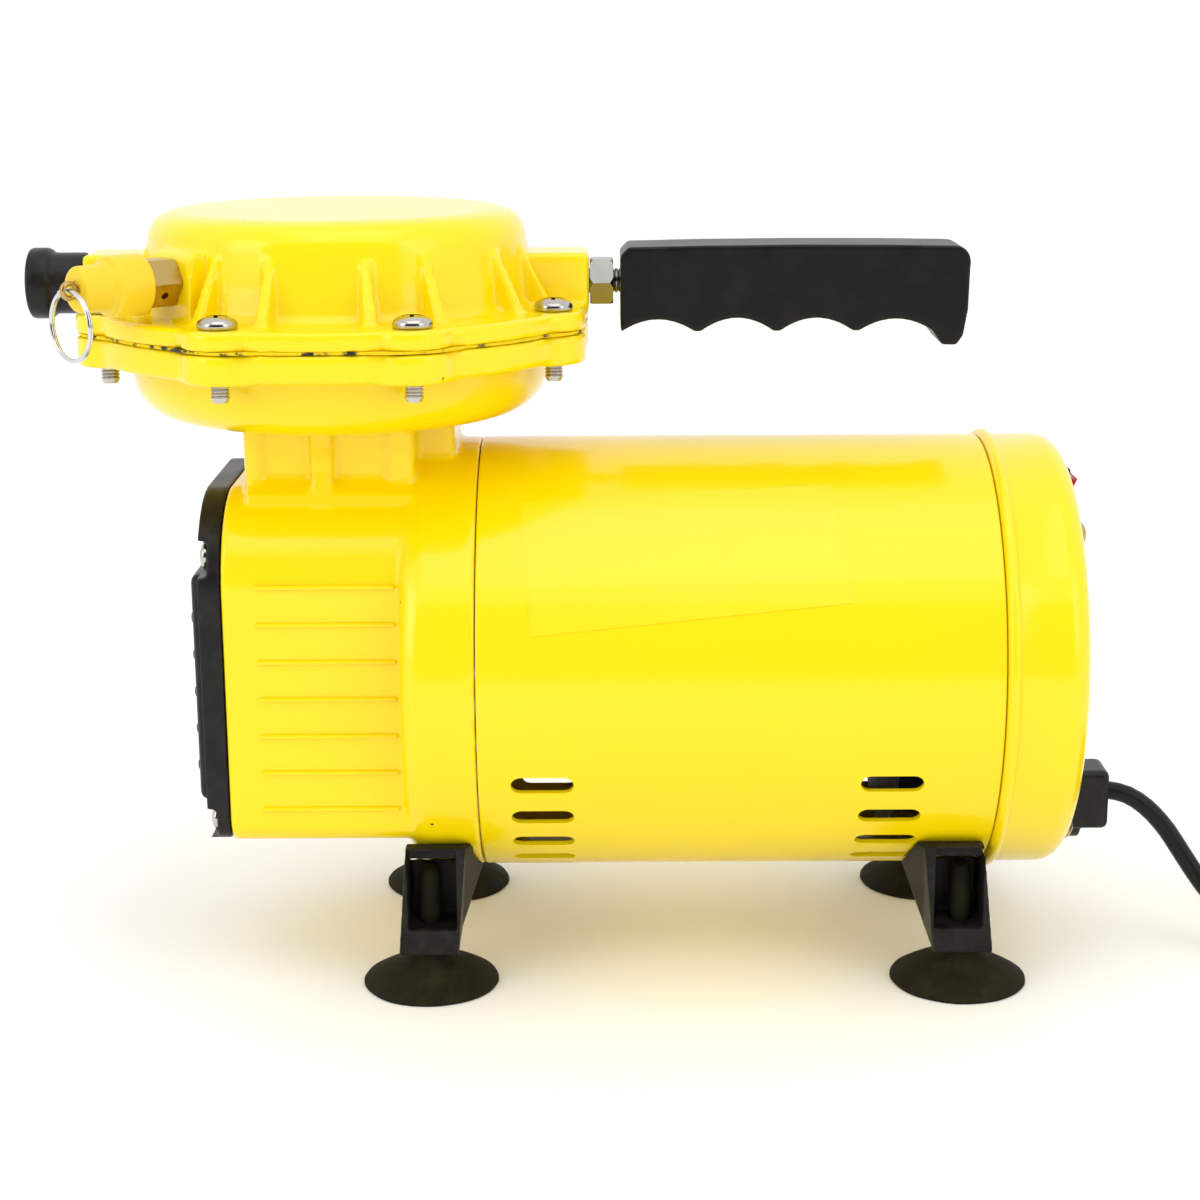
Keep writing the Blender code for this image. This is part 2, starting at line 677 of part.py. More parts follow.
def make_handle():
    end = HEAD_X + BOSS_REACH
    bore_end = GRIP_X0 + GRIP_BORE
    at = (0, 0, FITTING_Z)
    rod("handle_stud", STUD_R, end - STUD_IN, bore_end - 0.001, "steel", "X", at)
    nut = slab("handle_nut", hexagon(NUT_FLATS), NUT_X0, NUT_X0 + NUT_THICK, "steel", ACROSS_X, at)
    cut(nut, rod("nut_bore", STUD_R + FIT, NUT_X0 - 0.01, NUT_X0 + 0.02, turn="X", at=at))
    length = GRIP_X1 - GRIP_X0
    outline = [(GRIP_X0, GRIP_BOTTOM), (GRIP_X0, GRIP_TOP - 0.002), (GRIP_X0 + 0.002, GRIP_TOP)]
    outline += [(GRIP_X0 + length * 0.5, GRIP_TOP + 0.0006)]
    outline += arc((GRIP_X1 - 0.005, GRIP_TOP - 0.005), 0.005, 90, 0, 4)
    outline += [(GRIP_X1, FITTING_Z - 0.004), (GRIP_X1 - 0.002, GRIP_HORN + 0.002), (GRIP_X1 - 0.004, GRIP_HORN)]
    outline += [(GRIP_X1 - 0.0085, GRIP_HORN)]
    for index in reversed(range(len(GROOVE_DEPTHS))):
        middle = GRIP_X0 + (length - 0.0115) / 2 + (index - 1.5) * GROOVE_PITCH
        for step in range(7):
            swing = 1 - step / 3
            depth = GROOVE_DEPTHS[index] * (1 - swing * swing)
            outline.append((middle + swing * GROOVE_PITCH * 0.46, GRIP_BOTTOM + depth))
    grip = slab("handle_grip", outline, -GRIP_WIDTH / 2, GRIP_WIDTH / 2, "black", ACROSS_Y)
    rounded(grip, GRIP_EDGE * 0.6, 2)
    cut(grip, rod("grip_bore", STUD_R + FIT, GRIP_X0 - 0.01, bore_end, turn="X", at=at, steps=14))


def make_fittings():
    end = HEAD_X - BOSS_REACH - FIT
    at = (0, 0, FITTING_Z)
    filter_profile = [
        (0, HEAD_X - BOSS_REACH + 0.010),
        (0.0058, HEAD_X - BOSS_REACH + 0.010),
        (0.0058, end),
        (FILTER_R, end),
        (FILTER_R, FILTER_END_X + 0.0068),
        (FILTER_FLANGE_R, FILTER_END_X + 0.0060),
        (FILTER_FLANGE_R, FILTER_END_X + 0.0010),
        (FILTER_FLANGE_R - 0.001, FILTER_END_X),
        (FILTER_FLANGE_R - 0.0035, FILTER_END_X),
        (FILTER_FLANGE_R - 0.0045, FILTER_END_X + 0.006),
        (0, FILTER_END_X + 0.006),
    ]
    lathe("intake_filter", filter_profile, "black", "X", at, steps=28)

    at = (HEAD_X, 0, VALVE_Z)
    face = VALVE_BOSS_REACH + FIT
    turn = radial(VALVE_ANGLE)
    body = slab("safety_valve_body", hexagon(HEX_FLATS), face, face + 0.0105, "brass", turn, at)
    stem_end = VALVE_TIP - 0.0045
    stem = [
        (0, stem_end),
        (0.0030, stem_end),
        (0.0030, face + 0.0100),
        (0.0055, face + 0.0095),
        (0.0055, face + 0.002),
        (0.0040, face + 0.001),
        (0.0040, face - 0.010),
        (0, face - 0.010),
    ]
    join(body, lathe("valve_stem", stem, turn=turn, at=at, steps=16))
    lip = face + 0.0105 + FIT
    shoulder = lip + 0.0115
    cap_profile = [
        (VALVE_NOSE_R - 0.0015, VALVE_TIP),
        (VALVE_NOSE_R, VALVE_TIP - 0.0015),
        (VALVE_NOSE_R, shoulder + 0.0010),
        (VALVE_CAP_R - 0.001, shoulder),
        (VALVE_CAP_R, shoulder - 0.001),
        (VALVE_CAP_R, lip),
        (0.0034, lip),
        (0.0034, VALVE_TIP - 0.0040),
        (0, VALVE_TIP - 0.0040),
    ]
    cap = lathe("safety_valve_cap", [(0, VALVE_TIP)] + cap_profile, "valve_yellow", turn, at, steps=24)
    eye = around_head(VALVE_TIP + 0.0024, VALVE_ANGLE, VALVE_Z)
    lug = ring("cap_eye", 0.0030, 0.0014, -0.0011, 0.0011, turn=Matrix.Identity(4), at=eye, steps=16)
    lug.rotation_euler = (math.radians(90), 0, VALVE_ANGLE)
    join(cap, lug)
    ring_at = (eye[0], eye[1], VALVE_Z - RING_R + 0.0002)
    wire = [(RING_R + RING_WIRE / 2 * math.cos(a), RING_WIRE * math.sin(a)) for a in
            [-2 * math.pi * k / 5 for k in range(5)]]
    hoop = lathe("pull_ring", wire, "chrome", Matrix.Identity(4), ring_at, closed=True, steps=24)
    hoop.rotation_euler = (math.radians(90), 0, VALVE_ANGLE + math.radians(90))

    turn = radial(OUTLET_ANGLE)
    nipple = slab("outlet_nipple", hexagon(HEX_FLATS), face, face + 0.0080, "brass", turn, at)
    neck = [
        (0, OUTLET_TIP),
        (0.0048, OUTLET_TIP),
        (0.0052, OUTLET_TIP - 0.001),
        (0.0052, face + 0.007),
        (0.0040, face + 0.001),
        (0.0040, face - 0.010),
        (0, face - 0.010),
    ]
    join(nipple, lathe("nipple_neck", neck, turn=turn, at=at, steps=20))
    cut(nipple, rod("nipple_bore", 0.0025, face - 0.02, OUTLET_TIP + 0.01, turn=turn, at=at, steps=16))


def make_barrel():
    at = (0, 0, AXIS_Z)
    barrel = ring(
        "motor_barrel", BARREL_R, BARREL_R - BARREL_WALL, BARREL_X0, BARREL_X1, "yellow", "X", at, 48,
    )
    half = (VENT_LENGTH - VENT_HEIGHT) / 2
    radius = VENT_HEIGHT / 2
    outline = arc((half, 0), radius, -90, 90, VENT_SEGMENTS) + arc(
        (-half, 0), radius, 90, 270, VENT_SEGMENTS,
    )
    slot = slab("vent_slot", outline, BARREL_R - 0.008, BARREL_R + 0.008)
    for group, middle in enumerate(VENT_CENTRES, 1):
        for row in range(-VENT_ROWS, VENT_ROWS + 1):
            vent = slot.copy()
            vent.name = "vent_%d_%d" % (group, row + VENT_ROWS)
            cutters.objects.link(vent)
            vent.location = (middle, 0, AXIS_Z)
            vent.rotation_euler.x = math.pi + row * VENT_PITCH
            cut(barrel, vent)


def make_end_cap():
    at = (0, 0, AXIS_Z)
    left = BARREL_X1 + FIT
    inner_r = BARREL_R - END_WALL
    outer = [(0, END_X)] + arc((BARREL_R - END_EDGE, END_X - END_EDGE), END_EDGE, 90, 0, 4)
    bead = [
        (BARREL_R, left + BEAD_WIDTH),
        (BEAD_R, left + BEAD_WIDTH * 0.7),
        (BEAD_R, left + BEAD_WIDTH * 0.3),
        (BARREL_R, left),
    ]
    inner_edge = END_EDGE - END_WALL
    inside = [(inner_r, left)]
    inside += arc((inner_r - inner_edge, END_X - END_WALL - inner_edge), inner_edge, 0, 90, 2)
    inside += [(0, END_X - END_WALL)]
    cap = lathe("end_cap", outer + bead + inside, "yellow", "X", at, steps=48)
    frame_y = SWITCH_HALF_Y + SWITCH_FRAME / 2
    frame_z = SWITCH_HALF_Z + SWITCH_FRAME / 2
    cut(
        cap,
        box("switch_window", (END_X - 0.02, -frame_y, SWITCH_Z - frame_z), (END_X + 0.02, frame_y, SWITCH_Z + frame_z)),
    )
    cut(cap, rod("gland_hole", 0.0060, END_X - 0.02, END_X + 0.02, turn="X", at=(0, GLAND_Y, GLAND_Z)))
    for number, (y, z) in enumerate(bolt_places(), 1):
        cut(
            cap,
            rod("bolt_hole_%d" % number, 0.0023, END_X - 0.02, END_X + 0.02, turn="X", at=(0, y, z), steps=12),
        )
        seat = END_X + FIT
        profile = [
            (0, seat + 0.0034),
            (BOLT_HEAD_R * 0.6, seat + 0.0029),
            (BOLT_HEAD_R * 0.93, seat + 0.0014),
            (BOLT_HEAD_R, seat),
            (0.0020, seat),
            (0.0020, BRACKET_X0 + BRACKET_THICK + 0.001),
            (0, BRACKET_X0 + BRACKET_THICK + 0.001),
        ]
        lathe("end_bolt_%d" % number, profile, "brass", "X", (0, y, z), steps=12)


def bolt_places():
    return [(side * BOLT_Y, height) for side in (-1, 1) for height in BOLT_HEIGHTS]


def make_switch():
    half_y = SWITCH_HALF_Y
    half_z = SWITCH_HALF_Z
    edge = SWITCH_FRAME
    bezel = box(
        "switch_bezel",
        (END_X + FIT, -half_y - edge, SWITCH_Z - half_z - edge),
        (END_X + 0.0022, half_y + edge, SWITCH_Z + half_z + edge),
        "black",
    )
    hub = box(
        "bezel_body",
        (END_X - 0.0100, -half_y - edge / 2 + FIT, SWITCH_Z - half_z - edge / 2 + FIT),
        (END_X + 0.0010, half_y + edge / 2 - FIT, SWITCH_Z + half_z + edge / 2 - FIT),
    )
    join(bezel, hub)
    cut(bezel, box(
        "rocker_window",
        (END_X - 0.0085, -half_y, SWITCH_Z - half_z),
        (END_X + 0.0100, half_y, SWITCH_Z + half_z),
    ))
    reach = half_z - 0.0012
    outline = [(reach, 0.0028), (0, 0.0010), (-reach, 0.0028)] + arc((0, 0), 0.0045, 200, 340, 6)
    sketch = [(u, v) for u, v in outline]
    along = Matrix(((0, 1, 0, 0), (0, 0, 1, 0), (1, 0, 0, 0), (0, 0, 0, 1)))
    rocker = slab(
        "switch_rocker", sketch, -half_y + 0.0006, half_y - 0.0006, "red", along,
        (END_X + 0.0010, 0, SWITCH_Z),
    )
    rocker.rotation_euler.y = SWITCH_SLOPE


def make_gland():
    start = END_X + FIT
    gland = box(
        "cord_gland",
        (start, GLAND_Y - GLAND_HALF_Y, GLAND_Z - GLAND_HALF_Z),
        (start + GLAND_LENGTH, GLAND_Y + GLAND_HALF_Y, GLAND_Z + GLAND_HALF_Z),
        "black",
    )
    rounded(gland, 0.0025)
    join(gland, rod("gland_neck", 0.0055, END_X - 0.010, start + 0.004, turn="X", at=(0, GLAND_Y, GLAND_Z)))


def make_inner_motor():
    at = (0, 0, AXIS_Z)
    ring("stator_core", STATOR_R, STATOR_BORE_R, STATOR_X0, STATOR_X1, "steel", "X", at)
    front = STATOR_X0 - FIT
    rear = STATOR_X1 + FIT
    ring("winding_front", WINDING_R, WINDING_BORE_R, front - WINDING_LENGTH, front, "copper", "X", at, 32)
    ring("winding_rear", WINDING_R, WINDING_BORE_R, rear, rear + WINDING_LENGTH, "copper", "X", at, 32)
    rod("motor_shaft", SHAFT_R, SHAFT_X0, SHAFT_X1, "steel", "X", at)
    bore = SHAFT_R + FIT
    ring("rotor_core", ROTOR_R, bore, STATOR_X0, STATOR_X1, "steel", "X", at, 32)
    ring("front_bearing", BEARING_R, bore, BULKHEAD_X0 + 0.001, BULKHEAD_X1 - 0.001, "steel", "X", at, 24)
    bracket_x1 = BRACKET_X0 + BRACKET_THICK
    bracket = ring("rear_bracket", STATOR_R, BEARING_R + FIT, BRACKET_X0, bracket_x1, "aluminium", "X", at)
    for index in range(6):
        angle = math.pi / 3 * index
        place = (0, 0.040 * math.cos(angle), AXIS_Z + 0.040 * math.sin(angle))
        cut(
            bracket,
            rod("air_hole_%d" % index, 0.0120, BRACKET_X0 - 0.01, bracket_x1 + 0.01, turn="X", at=place, steps=10),
        )
    ring("rear_bearing", BEARING_R, bore, BRACKET_X0, bracket_x1, "steel", "X", at, 24)
    fan = ring("cooling_fan", 0.0130, bore, FAN_X0, FAN_X0 + FAN_WIDTH, "black", "X", at, 24)
    join(fan, ring("fan_disc", FAN_R, 0.0100, FAN_X0, FAN_X0 + 0.0015, turn="X", at=at, steps=32))
    for index in range(FAN_BLADES):
        blade = box(
            "blade_%d" % index, (FAN_X0 + 0.001, -0.0008, 0.0110),
            (FAN_X0 + FAN_WIDTH - 0.002, 0.0008, FAN_R - 0.001),
        )
        blade.location.z = AXIS_Z
        blade.rotation_euler.x = 2 * math.pi * index / FAN_BLADES
        join(fan, blade)


def make_crank():
    middle = AXIS_Z + THROW
    x0 = HEAD_X - ROD_THICK / 2
    x1 = HEAD_X + ROD_THICK / 2
    eccentric = rod("eccentric", ECCENTRIC_R, x0, x1, "steel", "X", (0, 0, middle), 32)
    cut(
        eccentric,
        rod("eccentric_bore", SHAFT_R + FIT, x0 - 0.01, x1 + 0.01, turn="X", at=(0, 0, AXIS_Z), steps=SMALL_ROUND),
    )
    inner = ECCENTRIC_R + FIT
    outer = inner + RACE
    ring("eccentric_bearing", outer, inner, x0, x1, "steel", "X", (0, 0, middle), 32)
    eye = outer + FIT
    conrod = ring("connecting_rod", eye + ROD_RIM, eye, x0, x1, "aluminium", "X", (0, 0, middle), 32)
    top = CLAMP_TOP - CLAMP_THICK - FIT
    shank = box(
        "rod_shank",
        (HEAD_X - ROD_SHANK_X / 2, -ROD_SHANK_Y / 2, middle + eye + 0.002),
        (HEAD_X + ROD_SHANK_X / 2, ROD_SHANK_Y / 2, top - 0.002),
    )
    join(conrod, shank, rod("rod_top", 0.0130, top - 0.004, top, at=(HEAD_X, 0, 0)))
    rod("diaphragm_clamp", CLAMP_R, top + FIT, CLAMP_TOP, "aluminium", at=(HEAD_X, 0, 0), steps=32)


def make_leg(name, top_x, bottom_x, flare, side):
    """One leg: side is -1 for the near pair; the web slants out towards flare at the rear."""
    shape = bmesh.new()
    bmesh.ops.create_cube(shape, size=2)
    for vert in shape.verts:
        high = vert.co.z > 0
        rear = vert.co.y > 0
        x = (top_x if high else bottom_x) + vert.co.x * LEG_HALF_X
        if high and rear and vert.co.x * flare > 0:
            x += flare * LEG_FLARE
        vert.co = (x, side * (LEG_REAR_Y if rear else LEG_FRONT_Y), LEG_TOP_Z if high else LEG_BOTTOM_Z)
    bmesh.ops.recalc_face_normals(shape, faces=shape.faces)
    mesh = bpy.data.meshes.new(name)
    shape.to_mesh(mesh)
    shape.free()
    leg = add_piece(name, mesh, "black")
    cut(leg, rod(name + "_saddle", BARREL_R + FIT, -0.2, 0.2, turn="X", at=(0, 0, AXIS_Z), steps=64))
    middle = (top_x + bottom_x) / 2
    half = LEG_HALF_X - LEG_WALL
    near = side * (LEG_FRONT_Y + 0.01)
    deep = side * (CUP_Y - 0.0070)
    pocket = box(
        name + "_pocket",
        (middle - half, min(near, deep), LEG_BOTTOM_Z + LEG_FLOOR),
        (middle + half, max(near, deep), LEG_TOP_Z - LEG_ROOF),
    )
    cut(leg, pocket)
    cut(
        leg,
        rod(name + "_hole", CUP_STEM_R + FIT, 0, LEG_BOTTOM_Z + LEG_FLOOR + 0.002, at=(bottom_x, side * CUP_Y, 0), steps=16),
    )


def make_feet():
    low = LEG_BOTTOM_Z + LEG_FLOOR
    cup = [
        (0, CUP_TOP),
        (0.0030, CUP_TOP - 0.0004),
        (CUP_BULB_R, CUP_TOP - 0.0050),
        (CUP_BULB_R, low + 0.0030),
        (CUP_STEM_R, low + 0.0004),
        (CUP_STEM_R, CUP_SHOULDER),
        (0.0070, CUP_SHOULDER),
        (0.0080, CUP_SHOULDER - 0.0030),
        (0.0130, CUP_SHOULDER - 0.0062),
        (CUP_R, 0.0012),
        (CUP_R, 0.0),
        (CUP_R - 0.0035, 0.0),
        (0.0120, 0.0036),
        (0.0060, 0.0052),
        (0, 0.0055),
    ]
    for end, (top_x, bottom_x, flare) in (("left", LEG_LEFT), ("right", LEG_RIGHT)):
        for row, side in (("front", -1), ("rear", 1)):
            make_leg("leg_%s_%s" % (row, end), top_x, bottom_x, flare, side)
            name = "suction_cup_%s_%s" % (row, end)
            lathe(name, cup, "rubber", at=(bottom_x, side * CUP_Y, 0), steps=16)


def smooth_route(points, spacing):
    """Evenly spaced points on a smooth curve through the route's points."""
    marks = [Vector(point) for point in points]
    marks = [2 * marks[0] - marks[1]] + marks + [2 * marks[-1] - marks[-2]]
    fine = []
    for before, start, end, after in zip(marks, marks[1:], marks[2:], marks[3:]):
        for index in range(24):
            t = index / 24
            fine.append(
                0.5 * (2 * start + (end - before) * t + (2 * before - 5 * start + 4 * end - after) * t * t
                       + (3 * start - before - 3 * end + after) * t * t * t)
            )
    fine.append(marks[-2])
    length = sum((second - first).length for first, second in zip(fine, fine[1:]))
    count = round(length / spacing)
    kept = [fine[0]]
    walked = 0.0
    for first, second in zip(fine, fine[1:]):
        walked += (second - first).length
        if walked >= len(kept) * length / count and len(kept) < count:
            kept.append(second)
    kept.append(fine[-1])
    return kept


def make_cord():
    curve = bpy.data.curves.new("cord_lead", "CURVE")
    curve.dimensions = "3D"
    curve.bevel_depth = CORD_R
    curve.bevel_resolution = 2
    curve.use_fill_caps = True
    curve.render_resolution_u = 0
    points = smooth_route(CORD_ROUTE, CORD_STEP)
    spline = curve.splines.new("POLY")
    spline.points.add(len(points) - 1)
    for point, place in zip(spline.points, points):
        point.co = (*place, 1)
    curve.materials.append(material("black"))
    lead = bpy.data.objects.new("cord_lead", curve)
    parts.objects.link(lead)
    ring("cord_coil", COIL_OUTER_R, COIL_INNER_R, 0, COIL_HEIGHT, "black", at=(*COIL_CENTRE, 0), steps=40)
    top = COIL_HEIGHT + FIT
    x0 = COIL_CENTRE[0] + PLUG_START[0]
    x1 = x0 + PLUG_LENGTH
    y = COIL_CENTRE[1] + PLUG_START[1]
    plug = box("plug", (x0, y - PLUG_HALF, top), (x1, y + PLUG_HALF, top + PLUG_THICK), "black")
    rounded(plug, 0.004)
    for side in (-1, 1):
        place = (0, y + side * PIN_OFFSET, top + PLUG_THICK / 2)
        join(
            plug,
            rod("plug_pin_%d" % side, PIN_R, x1 - 0.004, x1 + PIN_LENGTH, turn="X", at=place, steps=8),
        )


clear_scene()
parts = new_collection("air_compressor")
cutters = new_collection("cutters")
make_crankcase()
make_cover()
make_head_cap()
make_diaphragm_and_valves()
make_handle()
make_fittings()
make_barrel()
make_end_cap()
make_switch()
make_gland()
make_inner_motor()
make_crank()
make_feet()
make_cord()
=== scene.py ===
"""Looks of the direct-drive diaphragm air compressor, in metres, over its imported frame."""
import math
import bmesh
import bpy
from mathutils import Matrix, Vector, noise


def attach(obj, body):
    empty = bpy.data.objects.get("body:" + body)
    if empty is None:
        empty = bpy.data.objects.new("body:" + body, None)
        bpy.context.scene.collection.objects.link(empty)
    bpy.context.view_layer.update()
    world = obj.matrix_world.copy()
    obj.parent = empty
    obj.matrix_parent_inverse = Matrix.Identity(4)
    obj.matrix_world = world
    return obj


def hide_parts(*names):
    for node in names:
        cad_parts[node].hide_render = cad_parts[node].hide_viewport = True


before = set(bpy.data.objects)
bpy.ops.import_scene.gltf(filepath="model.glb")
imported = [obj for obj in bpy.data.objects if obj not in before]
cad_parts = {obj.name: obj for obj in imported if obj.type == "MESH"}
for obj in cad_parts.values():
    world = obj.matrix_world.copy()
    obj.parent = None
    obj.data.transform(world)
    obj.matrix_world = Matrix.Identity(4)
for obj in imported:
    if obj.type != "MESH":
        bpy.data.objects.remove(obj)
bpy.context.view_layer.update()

# Layout shared with the frame
AXIS_Z = 0.100
HEAD_X = -0.0765
FITTING_Z = 0.2235
VALVE_Z = 0.2290
VALVE_ANGLE = math.radians(225)
OUTLET_ANGLE = math.radians(135)
SCREW_CIRCLE_R = 0.0755

# Camera
CAMERA_PLACE = (0.0078, -0.7642, 0.3069)
CAMERA_TILT = math.radians(76.03)
CAMERA_TURN = math.radians(0.036)
CAMERA_ROLL = math.radians(-0.30)
CAMERA_LENS = 70.56

ALONG_X = Matrix.Rotation(math.radians(90), 4, "Y")
ACROSS_Y = Matrix(((1, 0, 0, 0), (0, 0, -1, 0), (0, 1, 0, 0), (0, 0, 0, 1)))


def across_x(side=1):
    """Takes an outline's points as (y, z) and its depth along X; side -1 mirrors it to the near side."""
    return Matrix(((0, 0, 1, 0), (side, 0, 0, 0), (0, 1, 0, 0), (0, 0, 0, 1)))


def at(x, y, z):
    return Matrix.Translation((x, y, z))


def radial(angle):
    """Local Z along the level direction at this angle around the head."""
    return Matrix.Rotation(angle, 4, "Z") @ ALONG_X


def around_head(radius, angle, height):
    return (HEAD_X + radius * math.cos(angle), radius * math.sin(angle), height)


# ---------------------------------------------------------------- shader groups

def new_group(name, inputs, outputs):
    group = bpy.data.node_groups.new(name, "ShaderNodeTree")
    for label, kind, value in inputs:
        socket = group.interface.new_socket(label, in_out="INPUT", socket_type=kind)
        socket.default_value = value
    for label, kind in outputs:
        group.interface.new_socket(label, in_out="OUTPUT", socket_type=kind)
    start = group.nodes.new("NodeGroupInput")
    end = group.nodes.new("NodeGroupOutput")
    return group, start.outputs, end.inputs


def feed(tree, value, slot):
    """Gives an input either another node's socket to follow or a plain value."""
    if isinstance(value, bpy.types.NodeSocket):
        tree.links.new(value, slot)
    else:
        slot.default_value = value


def calc(tree, operation, *values, clamp=False):
    """Output of a math node."""
    node = tree.nodes.new("ShaderNodeMath")
    node.operation = operation
    node.use_clamp = clamp
    for value, slot in zip(values, node.inputs):
        feed(tree, value, slot)
    return node.outputs[0]


def blend(tree, factor, first, second):
    """Colour that goes from the first to the second as the factor rises."""
    node = tree.nodes.new("ShaderNodeMix")
    node.data_type = "RGBA"
    tree.links.new(factor, node.inputs["Factor"])
    tree.links.new(first, node.inputs["A"])
    tree.links.new(second, node.inputs["B"])
    return node.outputs["Result"]


def noise_field(tree, scale, detail=2, roughness=0.5):
    """Noise on the piece's own coordinates."""
    place = tree.nodes.new("ShaderNodeTexCoord")
    field = tree.nodes.new("ShaderNodeTexNoise")
    field.inputs["Detail"].default_value = detail
    field.inputs["Roughness"].default_value = roughness
    tree.links.new(place.outputs["Object"], field.inputs["Vector"])
    feed(tree, scale, field.inputs["Scale"])
    return field.outputs["Fac"]


def remap(tree, value, low, high, floor=0.0):
    """Rises from the floor to 1 while the value goes from low to high."""
    node = tree.nodes.new("ShaderNodeMapRange")
    node.inputs["From Min"].default_value = low
    node.inputs["From Max"].default_value = high
    node.inputs["To Min"].default_value = floor
    tree.links.new(value, node.inputs["Value"])
    return node.outputs["Result"]


def mottle_group():
    """Slow variation of colour and gloss with a fine grain, as paint and moulded plastic have."""
    group, start, end = new_group(
        "mottle",
        [
            ("Scale", "NodeSocketFloat", 40.0),
            ("Grain", "NodeSocketFloat", 900.0),
            ("Colour", "NodeSocketColor", (0.5, 0.5, 0.5, 1)),
            ("Second Colour", "NodeSocketColor", (0.4, 0.4, 0.4, 1)),
            ("Roughness", "NodeSocketFloat", 0.4),
            ("Spread", "NodeSocketFloat", 0.1),
        ],
        [("Colour", "NodeSocketColor"), ("Roughness", "NodeSocketFloat"), ("Height", "NodeSocketFloat")],
    )
    slow = noise_field(group, start["Scale"], 4)
    drift = calc(group, "SUBTRACT", slow, 0.5)
    gloss = calc(group, "MULTIPLY_ADD", drift, start["Spread"], start["Roughness"])
    group.links.new(blend(group, slow, start["Colour"], start["Second Colour"]), end["Colour"])
    group.links.new(gloss, end["Roughness"])
    group.links.new(noise_field(group, start["Grain"]), end["Height"])
    return group


def dust_group():
    """Dust and grime in patches, thickest on faces that look up."""
    group, start, end = new_group(
        "dust",
        [
            ("Colour", "NodeSocketColor", (0.5, 0.5, 0.5, 1)),
            ("Dust Colour", "NodeSocketColor", (0.3, 0.27, 0.2, 1)),
            ("Amount", "NodeSocketFloat", 0.3),
            ("Scale", "NodeSocketFloat", 120.0),
        ],
        [("Colour", "NodeSocketColor"), ("Mask", "NodeSocketFloat")],
    )
    patches = remap(group, noise_field(group, start["Scale"], 8, 0.65), 0.42, 0.68)
    surface = group.nodes.new("ShaderNodeNewGeometry")
    split = group.nodes.new("ShaderNodeSeparateXYZ")
    group.links.new(surface.outputs["Normal"], split.inputs["Vector"])
    upward = remap(group, split.outputs["Z"], -0.6, 0.9, floor=0.35)
    mask = calc(group, "MULTIPLY", calc(group, "MULTIPLY", patches, upward), start["Amount"], clamp=True)
    group.links.new(blend(group, mask, start["Colour"], start["Dust Colour"]), end["Colour"])
    group.links.new(mask, end["Mask"])
    return group


CELLS_UNCHIPPED = 0.93
CHIP_EDGE_SCALE = 600


def chips_group():
    """Small dark chips and specks scattered over a painted casting."""
    group, start, end = new_group(
        "chips",
        [
            ("Colour", "NodeSocketColor", (0.9, 0.7, 0.0, 1)),
            ("Chip Colour", "NodeSocketColor", (0.05, 0.045, 0.03, 1)),
            ("Scale", "NodeSocketFloat", 130.0),
            ("Size", "NodeSocketFloat", 0.055),
        ],
        [("Colour", "NodeSocketColor"), ("Mask", "NodeSocketFloat")],
    )
    place = group.nodes.new("ShaderNodeTexCoord")
    cells = group.nodes.new("ShaderNodeTexVoronoi")
    group.links.new(place.outputs["Object"], cells.inputs["Vector"])
    group.links.new(start["Scale"], cells.inputs["Scale"])
    lot = group.nodes.new("ShaderNodeSeparateColor")
    group.links.new(cells.outputs["Color"], lot.inputs["Color"])
    chosen = calc(group, "GREATER_THAN", lot.outputs["Red"], CELLS_UNCHIPPED)
    ragged = calc(group, "MULTIPLY", cells.outputs["Distance"], noise_field(group, CHIP_EDGE_SCALE))
    mask = calc(group, "MULTIPLY", chosen, calc(group, "LESS_THAN", ragged, start["Size"]))
    group.links.new(blend(group, mask, start["Colour"], start["Chip Colour"]), end["Colour"])
    group.links.new(mask, end["Mask"])
    return group


MOTTLE = mottle_group()
DUST = dust_group()
CHIPS = chips_group()


FINISHES = {}
COAT_ROUGHNESS = 0.06
DUST_ROUGHNESS = 0.4


def placed_group(tree, group, values):
    node = tree.nodes.new("ShaderNodeGroup")
    node.node_tree = group
    for label, value in values.items():
        feed(tree, value, node.inputs[label])
    return node.outputs


def finish_material(name, colour, second, roughness, spread=0.1, metallic=0.0, scale=40, grain=900,
                    bump=0.02, depth=0.0002, dust=0.0, dust_colour=(0.25, 0.22, 0.17), chips=0.0,
                    coat=0.0, specular=0.35):
    """Adds a material to FINISHES: mottled colour, then chips, then dust, over one shader."""
    made = bpy.data.materials.new(name)
    made.use_nodes = True
    tree = made.node_tree
    shader = tree.nodes["Principled BSDF"].inputs
    shader["Metallic"].default_value = metallic
    shader["Coat Weight"].default_value = coat
    shader["Coat Roughness"].default_value = COAT_ROUGHNESS
    shader["Specular IOR Level"].default_value = specular
    mottle = placed_group(tree, MOTTLE, {
        "Scale": scale,
        "Grain": grain,
        "Colour": (*colour, 1),
        "Second Colour": (*second, 1),
        "Roughness": roughness,
        "Spread": spread,
    })
    tint = mottle["Colour"]
    gloss = mottle["Roughness"]
    if chips:
        tint = placed_group(tree, CHIPS, {"Colour": tint, "Size": chips})["Colour"]
    if dust:
        layer = placed_group(tree, DUST, {"Colour": tint, "Amount": dust, "Dust Colour": (*dust_colour, 1)})
        tint = layer["Colour"]
        gloss = calc(tree, "MULTIPLY_ADD", layer["Mask"], DUST_ROUGHNESS, gloss, clamp=True)
    tree.links.new(tint, shader["Base Color"])
    tree.links.new(gloss, shader["Roughness"])
    if bump:
        relief = tree.nodes.new("ShaderNodeBump")
        relief.inputs["Strength"].default_value = bump
        relief.inputs["Distance"].default_value = depth
        tree.links.new(mottle["Height"], relief.inputs["Height"])
        tree.links.new(relief.outputs["Normal"], shader["Normal"])
    FINISHES[name] = made


